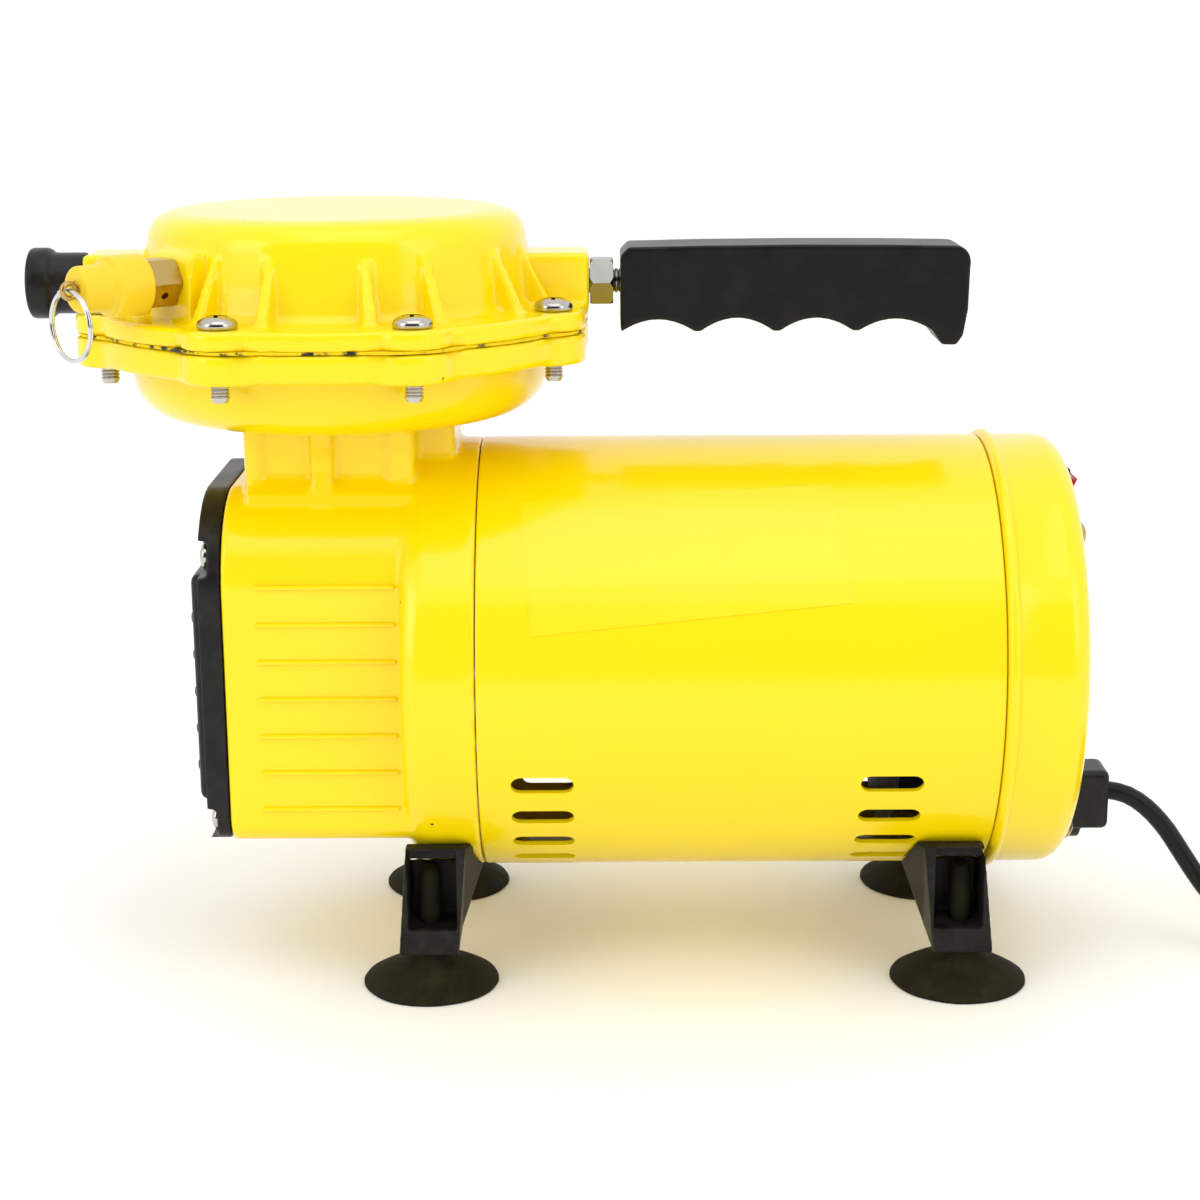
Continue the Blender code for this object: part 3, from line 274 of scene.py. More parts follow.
YELLOW = (0.95, 0.71, 0.0)
YELLOW_DEEP = (0.93, 0.68, 0.0)
finish_material("cast_enamel", YELLOW, YELLOW_DEEP, 0.20, 0.12, scale=25, grain=420,
                bump=0.10, depth=0.0003, chips=0.030, coat=0.25)
finish_material("sheet_enamel", YELLOW, YELLOW_DEEP, 0.20, 0.08, scale=14, grain=700,
                bump=0.03, depth=0.0002, chips=0.010, coat=0.25)
finish_material("cover_plastic", (0.006, 0.006, 0.006), (0.012, 0.012, 0.012), 0.34, 0.12,
                scale=60, bump=0.08, dust=0.06, specular=0.22)
finish_material("grip_plastic", (0.004, 0.004, 0.004), (0.008, 0.008, 0.008), 0.36, 0.10,
                scale=50, grain=2600, bump=0.10, dust=0.03, specular=0.22)
finish_material("leg_plastic", (0.005, 0.005, 0.005), (0.012, 0.011, 0.010), 0.45, 0.15,
                scale=80, bump=0.12, dust=0.10, specular=0.18)
finish_material("cup_rubber", (0.008, 0.007, 0.004), (0.018, 0.015, 0.007), 0.70, 0.2,
                scale=160, grain=700, bump=0.35, depth=0.0004, dust=0.75,
                dust_colour=(0.032, 0.030, 0.010), specular=0.12)
finish_material("painted_rubber", (0.012, 0.011, 0.009), (0.03, 0.026, 0.012), 0.5, 0.2,
                scale=300, bump=0.3, dust=6.0, dust_colour=(0.80, 0.58, 0.0))
finish_material("nickel", (0.62, 0.60, 0.57), (0.42, 0.39, 0.35), 0.16, 0.16, metallic=1.0,
                scale=160, bump=0.03)
finish_material("ring_chrome", (0.74, 0.75, 0.77), (0.6, 0.6, 0.62), 0.12, 0.08,
                metallic=1.0, scale=200, bump=0.0)
finish_material("zinc", (0.36, 0.355, 0.33), (0.24, 0.24, 0.23), 0.24, 0.14, metallic=1.0,
                scale=90, bump=0.05)
finish_material("brass", (0.58, 0.42, 0.15), (0.46, 0.31, 0.10), 0.30, 0.18, metallic=1.0,
                scale=120, bump=0.10, dust=0.10, dust_colour=(0.12, 0.07, 0.02))
finish_material("valve_yellow", (0.86, 0.62, 0.02), (0.82, 0.56, 0.015), 0.34, 0.08,
                scale=60, bump=0.05)
finish_material("bare_steel", (0.45, 0.45, 0.46), (0.33, 0.33, 0.34), 0.36, 0.15,
                metallic=1.0, scale=70, bump=0.08)
finish_material("copper_wire", (0.42, 0.13, 0.05), (0.30, 0.09, 0.03), 0.4, 0.15,
                scale=200, grain=1500, bump=0.5, depth=0.0005)
finish_material("cast_aluminium", (0.52, 0.52, 0.53), (0.42, 0.42, 0.43), 0.45, 0.12,
                metallic=1.0, scale=90, grain=1400, bump=0.25)
finish_material("fan_plastic", (0.02, 0.02, 0.02), (0.03, 0.03, 0.03), 0.5, 0.1, dust=0.2)
finish_material("switch_red", (0.62, 0.012, 0.006), (0.55, 0.01, 0.005), 0.18, 0.05,
                bump=0.0)
finish_material("cord_sheath", (0.004, 0.004, 0.004), (0.009, 0.009, 0.009), 0.36, 0.1,
                scale=90, bump=0.06, specular=0.22)
finish_material("clear_film", (0.94, 0.72, 0.005), (0.91, 0.68, 0.005), 0.26, 0.08,
                scale=30, bump=0.05, coat=0.3)


# ---------------------------------------------------------------- mesh tools

def turned(profile, frame_matrix=Matrix.Identity(4), steps=128, closed=False):
    """Solid of revolution about local Z from (radius, height) points down its outer side."""
    shape = bmesh.new()
    points = [shape.verts.new((radius, 0, height)) for radius, height in profile]
    edges = [shape.edges.new(pair) for pair in zip(points, points[1:])]
    if closed:
        edges.append(shape.edges.new((points[-1], points[0])))
    bmesh.ops.spin(shape, geom=points + edges, axis=(0, 0, 1), cent=(0, 0, 0), steps=steps, angle=2 * math.pi)
    bmesh.ops.remove_doubles(shape, verts=shape.verts, dist=0.000005)
    bmesh.ops.dissolve_degenerate(shape, dist=0.000002, edges=shape.edges)
    bmesh.ops.recalc_face_normals(shape, faces=shape.faces)
    bmesh.ops.transform(shape, matrix=frame_matrix, verts=shape.verts)
    return shape


def rod(radius, low, high, place, steps=24):
    """Round bar along local Z, or the cutter of a round hole."""
    return turned([(0, high), (radius, high), (radius, low), (0, low)], place, steps)


def prism(outline, start, end, frame_matrix=Matrix.Identity(4)):
    shape = bmesh.new()
    face = shape.faces.new([shape.verts.new((u, v, start)) for u, v in outline])
    grown = bmesh.ops.extrude_face_region(shape, geom=[face])
    top = [item for item in grown["geom"] if isinstance(item, bmesh.types.BMVert)]
    bmesh.ops.translate(shape, vec=(0, 0, end - start), verts=top)
    bmesh.ops.recalc_face_normals(shape, faces=shape.faces)
    bmesh.ops.transform(shape, matrix=frame_matrix, verts=shape.verts)
    return shape


def block(low, high, radius=0.0, segments=3, frame_matrix=Matrix.Identity(4)):
    shape = bmesh.new()
    bmesh.ops.create_cube(shape, size=1)
    low = Vector(low)
    high = Vector(high)
    bmesh.ops.scale(shape, vec=high - low, verts=shape.verts)
    bmesh.ops.translate(shape, vec=(low + high) / 2, verts=shape.verts)
    if radius:
        bmesh.ops.bevel(shape, geom=shape.edges[:], offset=radius, segments=segments, profile=0.5,
                        affect="EDGES", clamp_overlap=True)
    bmesh.ops.transform(shape, matrix=frame_matrix, verts=shape.verts)
    return shape


def arc(centre, radius, start, end, count):
    found = []
    for index in range(count + 1):
        angle = math.radians(start + (end - start) * index / count)
        found.append((centre[0] + radius * math.cos(angle), centre[1] + radius * math.sin(angle)))
    return found


def hexagon(flats):
    reach = flats / math.sqrt(3)
    return [(reach * math.cos(math.pi * k / 3), reach * math.sin(math.pi * k / 3)) for k in range(6)]


def scratch(shape):
    mesh = bpy.data.meshes.new("scratch")
    shape.to_mesh(mesh)
    shape.free()
    made = bpy.data.objects.new("scratch", mesh)
    bpy.context.scene.collection.objects.link(made)
    return made


def evaluated(made):
    """The modified mesh of a scratch object, as a bmesh; the object goes."""
    graph = bpy.context.evaluated_depsgraph_get()
    mesh = bpy.data.meshes.new_from_object(made.evaluated_get(graph))
    shape = bmesh.new()
    shape.from_mesh(mesh)
    bpy.data.objects.remove(made, do_unlink=True)
    bpy.data.meshes.remove(mesh)
    return shape


def carved(base, joins=(), cuts=(), keeps=()):
    made = scratch(base)
    tools = []
    for operation, shapes in (("UNION", joins), ("DIFFERENCE", cuts), ("INTERSECT", keeps)):
        for shape in shapes:
            tool = scratch(shape)
            tools.append(tool)
            change = made.modifiers.new(operation, "BOOLEAN")
            change.operation = operation
            change.solver = "EXACT"
            change.object = tool
    bpy.context.view_layer.update()
    result = evaluated(made)
    for tool in tools:
        bpy.data.objects.remove(tool, do_unlink=True)
    return result


def softened(shape, voxel, rounds=6, keep=1.0, factor=0.5):
    """Rounds every edge a little, as casting and moulding do."""
    made = scratch(shape)
    remesh = made.modifiers.new("Remesh", "REMESH")
    remesh.mode = "VOXEL"
    remesh.voxel_size = voxel
    relax = made.modifiers.new("Smooth", "SMOOTH")
    relax.factor = factor
    relax.iterations = rounds
    if keep < 1:
        thin = made.modifiers.new("Decimate", "DECIMATE")
        thin.ratio = keep
    return evaluated(made)


def add(name, shape, finish, body, nodes=(), sharp=40):
    """A finished piece: mesh in place, finish, body that it rides on and the CAD nodes it stands for."""
    mesh = bpy.data.meshes.new(name)
    shape.to_mesh(mesh)
    shape.free()
    mesh.materials.append(FINISHES[finish])
    mesh.shade_smooth()
    if sharp < 180:
        mesh.set_sharp_from_angle(angle=math.radians(sharp))
    piece = bpy.data.objects.new(name, mesh)
    bpy.context.scene.collection.objects.link(piece)
    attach(piece, body)
    if nodes:
        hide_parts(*nodes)
    return piece


# ---------------------------------------------------------------- geometry nodes

def repeat_tree(name, kind):
    """Places one shape on the points of a circle, a line or a two by two grid, then realizes it."""
    tree = bpy.data.node_groups.new(name, "GeometryNodeTree")
    face = tree.interface
    face.new_socket("Shape", in_out="INPUT", socket_type="NodeSocketObject")
    face.new_socket("Count", in_out="INPUT", socket_type="NodeSocketInt")
    face.new_socket("Size X", in_out="INPUT", socket_type="NodeSocketFloat")
    face.new_socket("Size Y", in_out="INPUT", socket_type="NodeSocketFloat")
    face.new_socket("Place", in_out="INPUT", socket_type="NodeSocketVector")
    face.new_socket("Turn", in_out="INPUT", socket_type="NodeSocketVector")
    face.new_socket("Finish", in_out="INPUT", socket_type="NodeSocketMaterial")
    face.new_socket("Geometry", in_out="OUTPUT", socket_type="NodeSocketGeometry")
    nodes = tree.nodes
    links = tree.links
    start = nodes.new("NodeGroupInput")
    end = nodes.new("NodeGroupOutput")
    if kind == "CIRCLE":
        points = nodes.new("GeometryNodeMeshCircle")
        links.new(start.outputs["Count"], points.inputs["Vertices"])
        links.new(start.outputs["Size X"], points.inputs["Radius"])
    elif kind == "GRID":
        points = nodes.new("GeometryNodeMeshGrid")
        points.inputs["Vertices X"].default_value = 2
        points.inputs["Vertices Y"].default_value = 2
        links.new(start.outputs["Size X"], points.inputs["Size X"])
        links.new(start.outputs["Size Y"], points.inputs["Size Y"])
    else:
        points = nodes.new("GeometryNodeMeshLine")
        offset = nodes.new("ShaderNodeCombineXYZ")
        links.new(start.outputs["Size X"], offset.inputs["X"])
        links.new(start.outputs["Count"], points.inputs["Count"])
        links.new(offset.outputs["Vector"], points.inputs["Offset"])
    move = nodes.new("GeometryNodeTransform")
    links.new(points.outputs["Mesh"], move.inputs["Geometry"])
    links.new(start.outputs["Place"], move.inputs["Translation"])
    links.new(start.outputs["Turn"], move.inputs["Rotation"])
    source = nodes.new("GeometryNodeObjectInfo")
    links.new(start.outputs["Shape"], source.inputs["Object"])
    scatter = nodes.new("GeometryNodeInstanceOnPoints")
    links.new(move.outputs["Geometry"], scatter.inputs["Points"])
    links.new(source.outputs["Geometry"], scatter.inputs["Instance"])
    real = nodes.new("GeometryNodeRealizeInstances")
    links.new(scatter.outputs["Instances"], real.inputs["Geometry"])
    paint = nodes.new("GeometryNodeSetMaterial")
    links.new(real.outputs["Geometry"], paint.inputs["Geometry"])
    links.new(start.outputs["Finish"], paint.inputs["Material"])
    links.new(paint.outputs["Geometry"], end.inputs["Geometry"])
    return tree


TREES = {kind: repeat_tree("repeat_" + kind.lower(), kind) for kind in ("CIRCLE", "GRID", "LINE")}


def repeated(name, pattern, kind, finish, body, nodes, place, turn=(0, 0, 0), count=4, size=(0.1, 0.1)):
    """The pattern shape on every point of the tree, as one plain mesh."""
    shape = scratch(pattern)
    shape.data.shade_smooth()
    shape.data.set_sharp_from_angle(angle=math.radians(40))
    holder = bpy.data.objects.new("holder", bpy.data.meshes.new("holder"))
    bpy.context.scene.collection.objects.link(holder)
    change = holder.modifiers.new("Repeat", "NODES")
    change.node_group = TREES[kind]
    given = {
        "Shape": shape,
        "Count": count,
        "Size X": size[0],
        "Size Y": size[1],
        "Place": place,
        "Turn": turn,
        "Finish": FINISHES[finish],
    }
    for item in change.node_group.interface.items_tree:
        if item.in_out == "INPUT":
            change[item.identifier] = given[item.name]
    bpy.context.view_layer.update()
    mesh = bpy.data.meshes.new_from_object(holder.evaluated_get(bpy.context.evaluated_depsgraph_get()))
    bpy.data.objects.remove(holder, do_unlink=True)
    bpy.data.objects.remove(shape, do_unlink=True)
    mesh.name = name
    mesh.materials.clear()
    mesh.materials.append(FINISHES[finish])
    piece = bpy.data.objects.new(name, mesh)
    bpy.context.scene.collection.objects.link(piece)
    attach(piece, body)
    if nodes:
        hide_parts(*nodes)
    return piece


# ---------------------------------------------------------------- mains lead

CORD_R = 0.0031
CORD_ROUTE = (
    (0.1768, -0.0150, 0.0541),
    (0.1795, -0.0150, 0.0537),
    (0.1848, -0.0150, 0.0518),
    (0.1908, -0.0153, 0.0475),
    (0.1966, -0.0158, 0.0412),
    (0.2012, -0.0166, 0.0345),
    (0.2060, -0.0180, 0.0272),
    (0.2120, -0.0208, 0.0192),
    (0.2210, -0.0262, 0.0114),
    (0.2340, -0.0345, 0.0056),
    (0.2500, -0.0430, 0.0035),
    (0.2670, -0.0477, 0.0034),
)
COIL_CENTRE = (0.2840, 0.0)
COIL_TURN_R = (0.0418, 0.0354, 0.0290)
COIL_PITCH = 0.0061
COIL_LAYERS = 3
COIL_STEPS = 28
COIL_START = -90
COIL_LAST_TURN = 336
PLUG_REAR = (0.2760, -0.0330, 0.0273)


def eased(t, start):
    """Stays 0 up to start, then rises smoothly to 1 at t = 1."""
    share = max(0.0, (t - start) / (1 - start))
    return share * share * (3 - 2 * share)


def on_coil(radius, degrees, height):
    turn = math.radians(degrees)
    return (COIL_CENTRE[0] + radius * math.cos(turn), COIL_CENTRE[1] + radius * math.sin(turn), height)


def coil_points():
    """Turns side by side in layers: inwards on the floor, outwards above, inwards again on top."""
    points = []
    order = []
    for layer in range(COIL_LAYERS):
        rings = COIL_TURN_R if layer % 2 == 0 else COIL_TURN_R[::-1]
        order += [(radius, layer) for radius in rings]
    floor = CORD_R + 0.0002
    shares = [step / COIL_STEPS for step in range(COIL_STEPS)]
    for (radius, layer), (next_radius, next_layer) in zip(order, order[1:]):
        for t in shares:
            ease = eased(t, 0.72)
            height = floor + COIL_PITCH * (layer + (next_layer - layer) * ease)
            points.append(on_coil(radius + (next_radius - radius) * ease, COIL_START + 360 * t, height))
    radius, layer = order[-1]
    top = floor + COIL_PITCH * layer
    reach = math.hypot(PLUG_REAR[0] - COIL_CENTRE[0], PLUG_REAR[1] - COIL_CENTRE[1])
    for t in shares:
        rise = eased(t, 0.6)
        height = top + (PLUG_REAR[2] - top) * rise
        points.append(on_coil(radius + (reach - radius) * rise, COIL_START + COIL_LAST_TURN * t, height))
    points.append((PLUG_REAR[0] - 0.004, PLUG_REAR[1] - 0.0004, PLUG_REAR[2]))
    points.append((PLUG_REAR[0] - 0.0003, PLUG_REAR[1], PLUG_REAR[2]))
    return points


def smooth_line(points, spacing):
    """Evenly spaced points on a smooth curve through the given ones."""
    marks = [Vector(point) for point in points]
    marks = [2 * marks[0] - marks[1]] + marks + [2 * marks[-1] - marks[-2]]
    fine = []
    for before, start, end, after in zip(marks, marks[1:], marks[2:], marks[3:]):
        for index in range(16):
            t = index / 16
            fine.append(
                0.5 * (2 * start + (end - before) * t + (2 * before - 5 * start + 4 * end - after) * t * t
                       + (3 * start - before - 3 * end + after) * t * t * t)
            )
    fine.append(marks[-2])
    kept = [fine[0]]
    for point in fine[1:-1]:
        if (point - kept[-1]).length >= spacing:
            kept.append(point)
    kept.append(fine[-1])
    return kept


def wire(name, points, radius, finish):
    curve = bpy.data.curves.new(name, "CURVE")
    curve.dimensions = "3D"
    curve.bevel_depth = radius
    curve.bevel_resolution = 4
    curve.use_fill_caps = True
    spline = curve.splines.new("POLY")
    spline.points.add(len(points) - 1)
    for point, place in zip(spline.points, points):
        point.co = (*place, 1)
    spline.use_smooth = True
    curve.materials.append(FINISHES[finish])
    piece = bpy.data.objects.new(name, curve)
    bpy.context.scene.collection.objects.link(piece)
    return piece


def make_cord():
    points = smooth_line(CORD_ROUTE + tuple(coil_points()), 0.0034)
    lead = wire("mains_lead", points, CORD_R, "cord_sheath")
    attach(lead, "casing")
    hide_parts("cord_lead", "cord_coil")
    x0, y, z = PLUG_REAR
    body = block((x0 + 0.008, y - 0.0108, z - 0.0078), (x0 + 0.0360, y + 0.0108, z + 0.0078), 0.0035, 4)
    collar = turned([(0, 0.010), (0.0075, 0.010), (0.0062, 0.004), (0.0042, 0.0), (0, 0.0)],
                    at(x0, y, z) @ ALONG_X, 40)
    plug = add("mains_plug", softened(carved(body, [collar]), 0.0005, 4), "cord_sheath", "casing",
               ["plug"], 180)
    for side in (-1, 1):
        pin = turned([(0, 0.0180), (0.0013, 0.0180), (0.0020, 0.0168), (0.0020, -0.004), (0, -0.004)],
                     at(x0 + 0.0360, y + side * 0.0070, z) @ ALONG_X, 24)
        add("plug_pin_%s" % ("a" if side < 0 else "b"), pin, "brass", "casing", ())


# ---------------------------------------------------------------- castings

CASE_X0 = -0.1110
CASE_X1 = -0.0546
CASE_HALF_Y = 0.0530
CASE_BOTTOM = 0.0495
CASE_TOP = 0.1615
CASE_ARCH = 0.0300
CASE_FOOT = 0.0080
FLANGE_TOP = 0.2102
FLANGE_LOW = 0.2017
FLANGE_R = 0.0805
BARREL_R = 0.0715
BARREL_X0 = -0.0310
BARREL_X1 = 0.1320
COVER_SCREW_Y = 0.0430
COVER_SCREW_Z = (0.0560, 0.1425)
BOLT_HEIGHTS = (0.0475, 0.1450)
BOLT_SPREAD_Y = 0.0600
SCREW_COUNT = 8
SCREW_HOLE_R = 0.0034
RIB_LENGTH = 0.0436
RIB_COUNT = 7
RIB_PITCH = 0.0121
RIB_LOWEST = 0.0619
CAP_BOTTOM = 0.2114
CAP_FLANGE_TOP = 0.2173
CAP_TOP = 0.2473
CAP_PAD_TOP = 0.2380
WEB_ANGLE = math.radians(9)
WEB_HALF_THICK = 0.0022
WEB_TAPER = 0.62
WEB_TAPER_FROM = 0.23
LOBE_R = 0.0134
LOBE_CIRCLE_R = 0.0718
SEAT_R = 0.0808
FITTING_BORE_R = 0.0046
FITTING_FACE = 0.0663
FITTING_FLATS = 0.0140
RING_PIVOT_R = 0.1014
END_FACE = 0.1590
GLAND_Y = -0.0150
GLAND_Z = 0.0530
FOOT_Y = 0.0455
VENT_CENTRES = (-0.0110, 0.0983)
VENT_ROWS = 6
VENT_PITCH = math.radians(11.4)
VENT_HALF = 0.0068
VENT_R = 0.0031
SWITCH_Z = 0.1500


def case_outline(inset=0.0, fine=10):
    half = CASE_HALF_Y - inset
    low = CASE_BOTTOM + inset
    high = CASE_TOP - inset
    arch = CASE_ARCH - inset
    foot = max(CASE_FOOT - inset, 0.0020)
    points = arc((half - foot, low + foot), foot, -90, 0, fine)
    points += arc((half - arch, high - arch), arch, 0, 90, fine * 2)
    points += arc((arch - half, high - arch), arch, 90, 180, fine * 2)
    points += arc((foot - half, low + foot), foot, 180, 270, fine)
    return points


def screw_angles():
    return [math.radians(22.5 + 360 / SCREW_COUNT * index) for index in range(SCREW_COUNT)]


# Neck under the head: start and end along X, half depth, bottom, top and edge radius
NECK_BLOCKS = (
    (-0.1046, -0.0514, 0.0322, 0.128, 0.1865, 0.0040),
    (-0.1050, -0.0985, 0.0345, 0.128, 0.1860, 0.0030),
    (-0.0600, -0.0510, 0.0345, 0.128, 0.1862, 0.0030),
    (-0.0540, -0.0390, 0.0205, 0.140, 0.1864, 0.0025),
)


def make_crankcase():
    middle = at(0, 0, AXIS_Z)
    head = at(HEAD_X, 0, 0)
    box = prism(case_outline(), CASE_X0, CASE_X1 + 0.002, across_x())
    end = BARREL_X0 - 0.0003
    rim = [(0, end), (BARREL_R, end), (BARREL_R, CASE_X1 + 0.006), (BARREL_R - 0.0015, CASE_X1 + 0.0018),
           (BARREL_R - 0.005, CASE_X1), (0, CASE_X1)]
    collar = turned(rim, middle @ ALONG_X, 160)
    bowl = [(0, FLANGE_TOP + 0.0004), (FLANGE_R, FLANGE_TOP + 0.0004), (FLANGE_R, FLANGE_LOW),
            (0.0670, FLANGE_LOW)]
    bowl += arc((0.0530, 0.1965), 0.0140, 0, -90, 10)
    bowl += [(0.036, 0.1805), (0, 0.1805)]
    joins = [collar, turned(bowl, head, 160)]
    for x0, x1, half_y, low, high, radius in NECK_BLOCKS:
        joins.append(block((x0, -half_y, low), (x1, half_y, high), radius, 4))
    for left, right, top in ((-0.0835, -0.0792, 0.1858), (-0.0785, -0.0768, 0.1856)):
        outline = [(0.0300, top), (0.0350, top), (0.0362, 0.1660), (0.0400, 0.1560), (0.0400, 0.1300),
                   (0.0300, 0.1300)]
        for side in (-1, 1):
            joins.append(prism(outline, left, right, across_x(side)))
    for side in (-1, 1):
        foot = [(0.0300, 0.1665), (0.0330, 0.1640), (0.0385, 0.1605), (0.0385, 0.1300), (0.0300, 0.1300)]
        joins.append(prism(foot, -0.1040, -0.0520, across_x(side)))
    for angle in screw_angles():
        joins.append(flange_lobe(angle, FLANGE_LOW - 0.0006, FLANGE_TOP + 0.0002))
    cavity = [(0, 0.230), (0.0615, 0.230), (0.0615, 0.1965), (0.0495, 0.1880), (0.0220, 0.1880),
              (0.0220, 0.105), (0, 0.105)]
    pocket = [(0, -0.021), (0.0660, -0.021), (0.0660, -0.0500), (0.0113, -0.0500), (0.0113, -0.070),
              (0, -0.070)]
    cuts = [
        turned(cavity, head, 96),
        prism(case_outline(0.0055, 4), CASE_X0 - 0.01, -0.0600, across_x()),
        turned(pocket, middle @ ALONG_X, 96),
    ]
    for angle in screw_angles():
        place = at(*around_head(SCREW_CIRCLE_R, angle, 0))
        cuts.append(rod(SCREW_HOLE_R, 0.190, 0.225, place))
    case = softened(carved(box, joins, cuts), 0.00105, 5, 0.72)
    add("crankcase_casting", case, "cast_enamel", "casing", ["crankcase"], 180)
    rib = block((-RIB_LENGTH / 2, -0.0006, -0.0007), (RIB_LENGTH / 2, 0.0011, 0.0007), 0.0005, 2)
    for side, turn in ((-1, math.pi), (1, 0)):
        placed = rib.copy()
        bmesh.ops.rotate(placed, cent=(0, 0, 0), matrix=Matrix.Rotation(turn, 3, "Z"), verts=placed.verts)
        repeated(
            "case_ribs_%s" % ("near" if side < 0 else "far"), placed, "LINE", "cast_enamel", "casing", (),
            (-0.0785, side * CASE_HALF_Y, RIB_LOWEST), (0, -math.pi / 2, 0), RIB_COUNT,
            (RIB_PITCH, 0))
    rib.free()


def flange_lobe(angle, low, high):
    """Round lobe that carries a screw at the edge of the flange."""
    return rod(LOBE_R, low, high, at(*around_head(LOBE_CIRCLE_R, angle, 0)), 72)


def make_head_cap():
    head = at(HEAD_X, 0, 0)
    profile = [(0, CAP_TOP), (0.0506, CAP_TOP), (0.0522, CAP_TOP - 0.0002)]
    profile += arc((0.0520, CAP_TOP - 0.0088), 0.0084, 84, 8, 10)
    profile += [(0.0612, 0.2280), (0.0622, CAP_FLANGE_TOP + 0.0025), (0.0645, CAP_FLANGE_TOP),
                (FLANGE_R, CAP_FLANGE_TOP), (FLANGE_R, CAP_BOTTOM), (0, CAP_BOTTOM)]
    joins = []
    for angle in screw_angles():
        joins.append(flange_lobe(angle, CAP_BOTTOM + 0.0002, CAP_FLANGE_TOP + 0.0001))
    joins.append(block((HEAD_X - SEAT_R, -0.0115, 0.2138), (HEAD_X + SEAT_R, 0.0115, 0.2334), 0.0015))
    for angle in (VALVE_ANGLE, OUTLET_ANGLE):
        outline = [(0.030, 0.2135), (0.0668, 0.2135), (0.0660, 0.2350), (0.0652, 0.2366),
                   (0.0635, CAP_PAD_TOP), (0.030, CAP_PAD_TOP)]
        turn = Matrix.Rotation(angle, 4, "Z")
        pad = prism(outline, -0.0105, 0.0105, head @ turn @ ACROSS_Y)
        level = [edge for edge in pad.edges if abs(edge.verts[0].co.z - edge.verts[1].co.z) < 0.0001]
        top = [edge for edge in level if edge.verts[0].co.z > CAP_PAD_TOP - 0.001]
        bmesh.ops.bevel(pad, geom=top, offset=0.0040, segments=5, profile=0.5, affect="EDGES",
                        clamp_overlap=True)
        joins.append(pad)
    web = [(0.0560, 0.2150), (0.0712, 0.2150), (0.0708, 0.2180), (0.0606, 0.2372), (0.0590, 0.2388),
           (0.0560, 0.2390)]
    for screw in screw_angles():
        for side in (-1, 1):
            turn = Matrix.Rotation(screw + side * WEB_ANGLE, 4, "Z")
            rib = prism(web, -WEB_HALF_THICK, WEB_HALF_THICK, head @ turn @ ACROSS_Y)
            for vert in rib.verts:
                local = turn.inverted() @ (vert.co - Vector((HEAD_X, 0, 0)))
                local.y *= WEB_TAPER if local.z > WEB_TAPER_FROM else 1.0
                vert.co = turn @ local + Vector((HEAD_X, 0, 0))
            joins.append(rib)
    cavity = [(0, 0.2418), (0.0426, 0.2418), (0.0465, 0.2368), (0.0465, 0.2191), (0.0503, 0.2191),
              (0.0503, 0.200), (0, 0.200)]
    middle = at(HEAD_X, 0, FITTING_Z)
    valve = at(HEAD_X, 0, VALVE_Z)
    cuts = [
        turned(cavity, head, 96),
        rod(FITTING_BORE_R, 0.045, 0.090, middle @ ALONG_X, 32),
        rod(0.0062, -0.090, -0.040, middle @ ALONG_X, 32),
        rod(FITTING_BORE_R, 0.045, 0.090, valve @ radial(VALVE_ANGLE), 32),
        rod(FITTING_BORE_R, 0.045, 0.090, valve @ radial(OUTLET_ANGLE), 32),
    ]
    for angle in screw_angles():
        place = at(*around_head(SCREW_CIRCLE_R, angle, 0))
        cuts.append(rod(SCREW_HOLE_R, 0.205, 0.225, place))
    cap = softened(carved(turned(profile, head, 200), joins, cuts), 0.00095, 4, 0.70)
    add("head_cap_casting", cap, "cast_enamel", "casing", ["head_cap"], 180)


def make_diaphragm():
    head = at(HEAD_X, 0, 0)
    upper = [(0.0250, 0.2115), (0.034, 0.2115), (0.038, 0.2098), (0.042, 0.2080), (0.046, 0.2098),
             (0.050, 0.2115),
             (0.0802, 0.2116)]
    lower = [(radius, height - 0.0009) for radius, height in reversed(upper)]
    disc = turned(upper + lower, head, 288, True)
    for vert in disc.verts:
        flat = Vector((vert.co.x - HEAD_X, vert.co.y, 0))
        if flat.length > 0.079:
            angle = math.atan2(flat.y, flat.x)
            lobe = max(0.0, math.cos(SCREW_COUNT * (angle - math.radians(22.5))))
            push = 0.0042 * lobe + 0.0004 * noise.noise(vert.co * 160)
            vert.co += flat.normalized() * push
            vert.co.z += 0.00015 * noise.noise(vert.co * 90)
    add("diaphragm_sheet", disc, "painted_rubber", "casing", ["diaphragm"], 50)


# ---------------------------------------------------------------- screws

def thread_profile(radius, top, bottom, pitch, depth):
    """Ridged outline of a threaded stretch, from top to bottom."""
    points = []
    count = int((top - bottom) / pitch)
    for index in range(count):
        z = top - index * pitch
        points += [(radius - depth, z), (radius, z - pitch * 0.4), (radius, z - pitch * 0.6)]
    return points


def cross_slot(height, reach, width, depth):
    bars = []
    for turn in (0, math.pi / 2):
        bars.append(block((-reach, -width / 2, height - depth), (reach, width / 2, height + 0.002), 0.0,
                          1, Matrix.Rotation(turn, 4, "Z")))
    return bars


def pan_screw(head_r, head_h, shank_r, length, thread):
    crown = [(0, head_h)]
    crown += [(head_r * math.sin(a), head_h * (0.32 + 0.68 * math.cos(a))) for a in
              [math.radians(10 * k) for k in range(1, 9)]]
    crown += [(head_r, head_h * 0.30), (head_r, head_h * 0.08), (head_r * 0.97, 0), (shank_r, 0)]
    crown += thread_profile(shank_r, -length + thread, -length + 0.0006, 0.0010, 0.0005)
    crown += [(shank_r - 0.0006, -length), (0, -length)]
    return carved(turned(crown, steps=48), cuts=cross_slot(head_h, head_r * 0.52, head_r * 0.20,
                                                           head_h * 0.62))


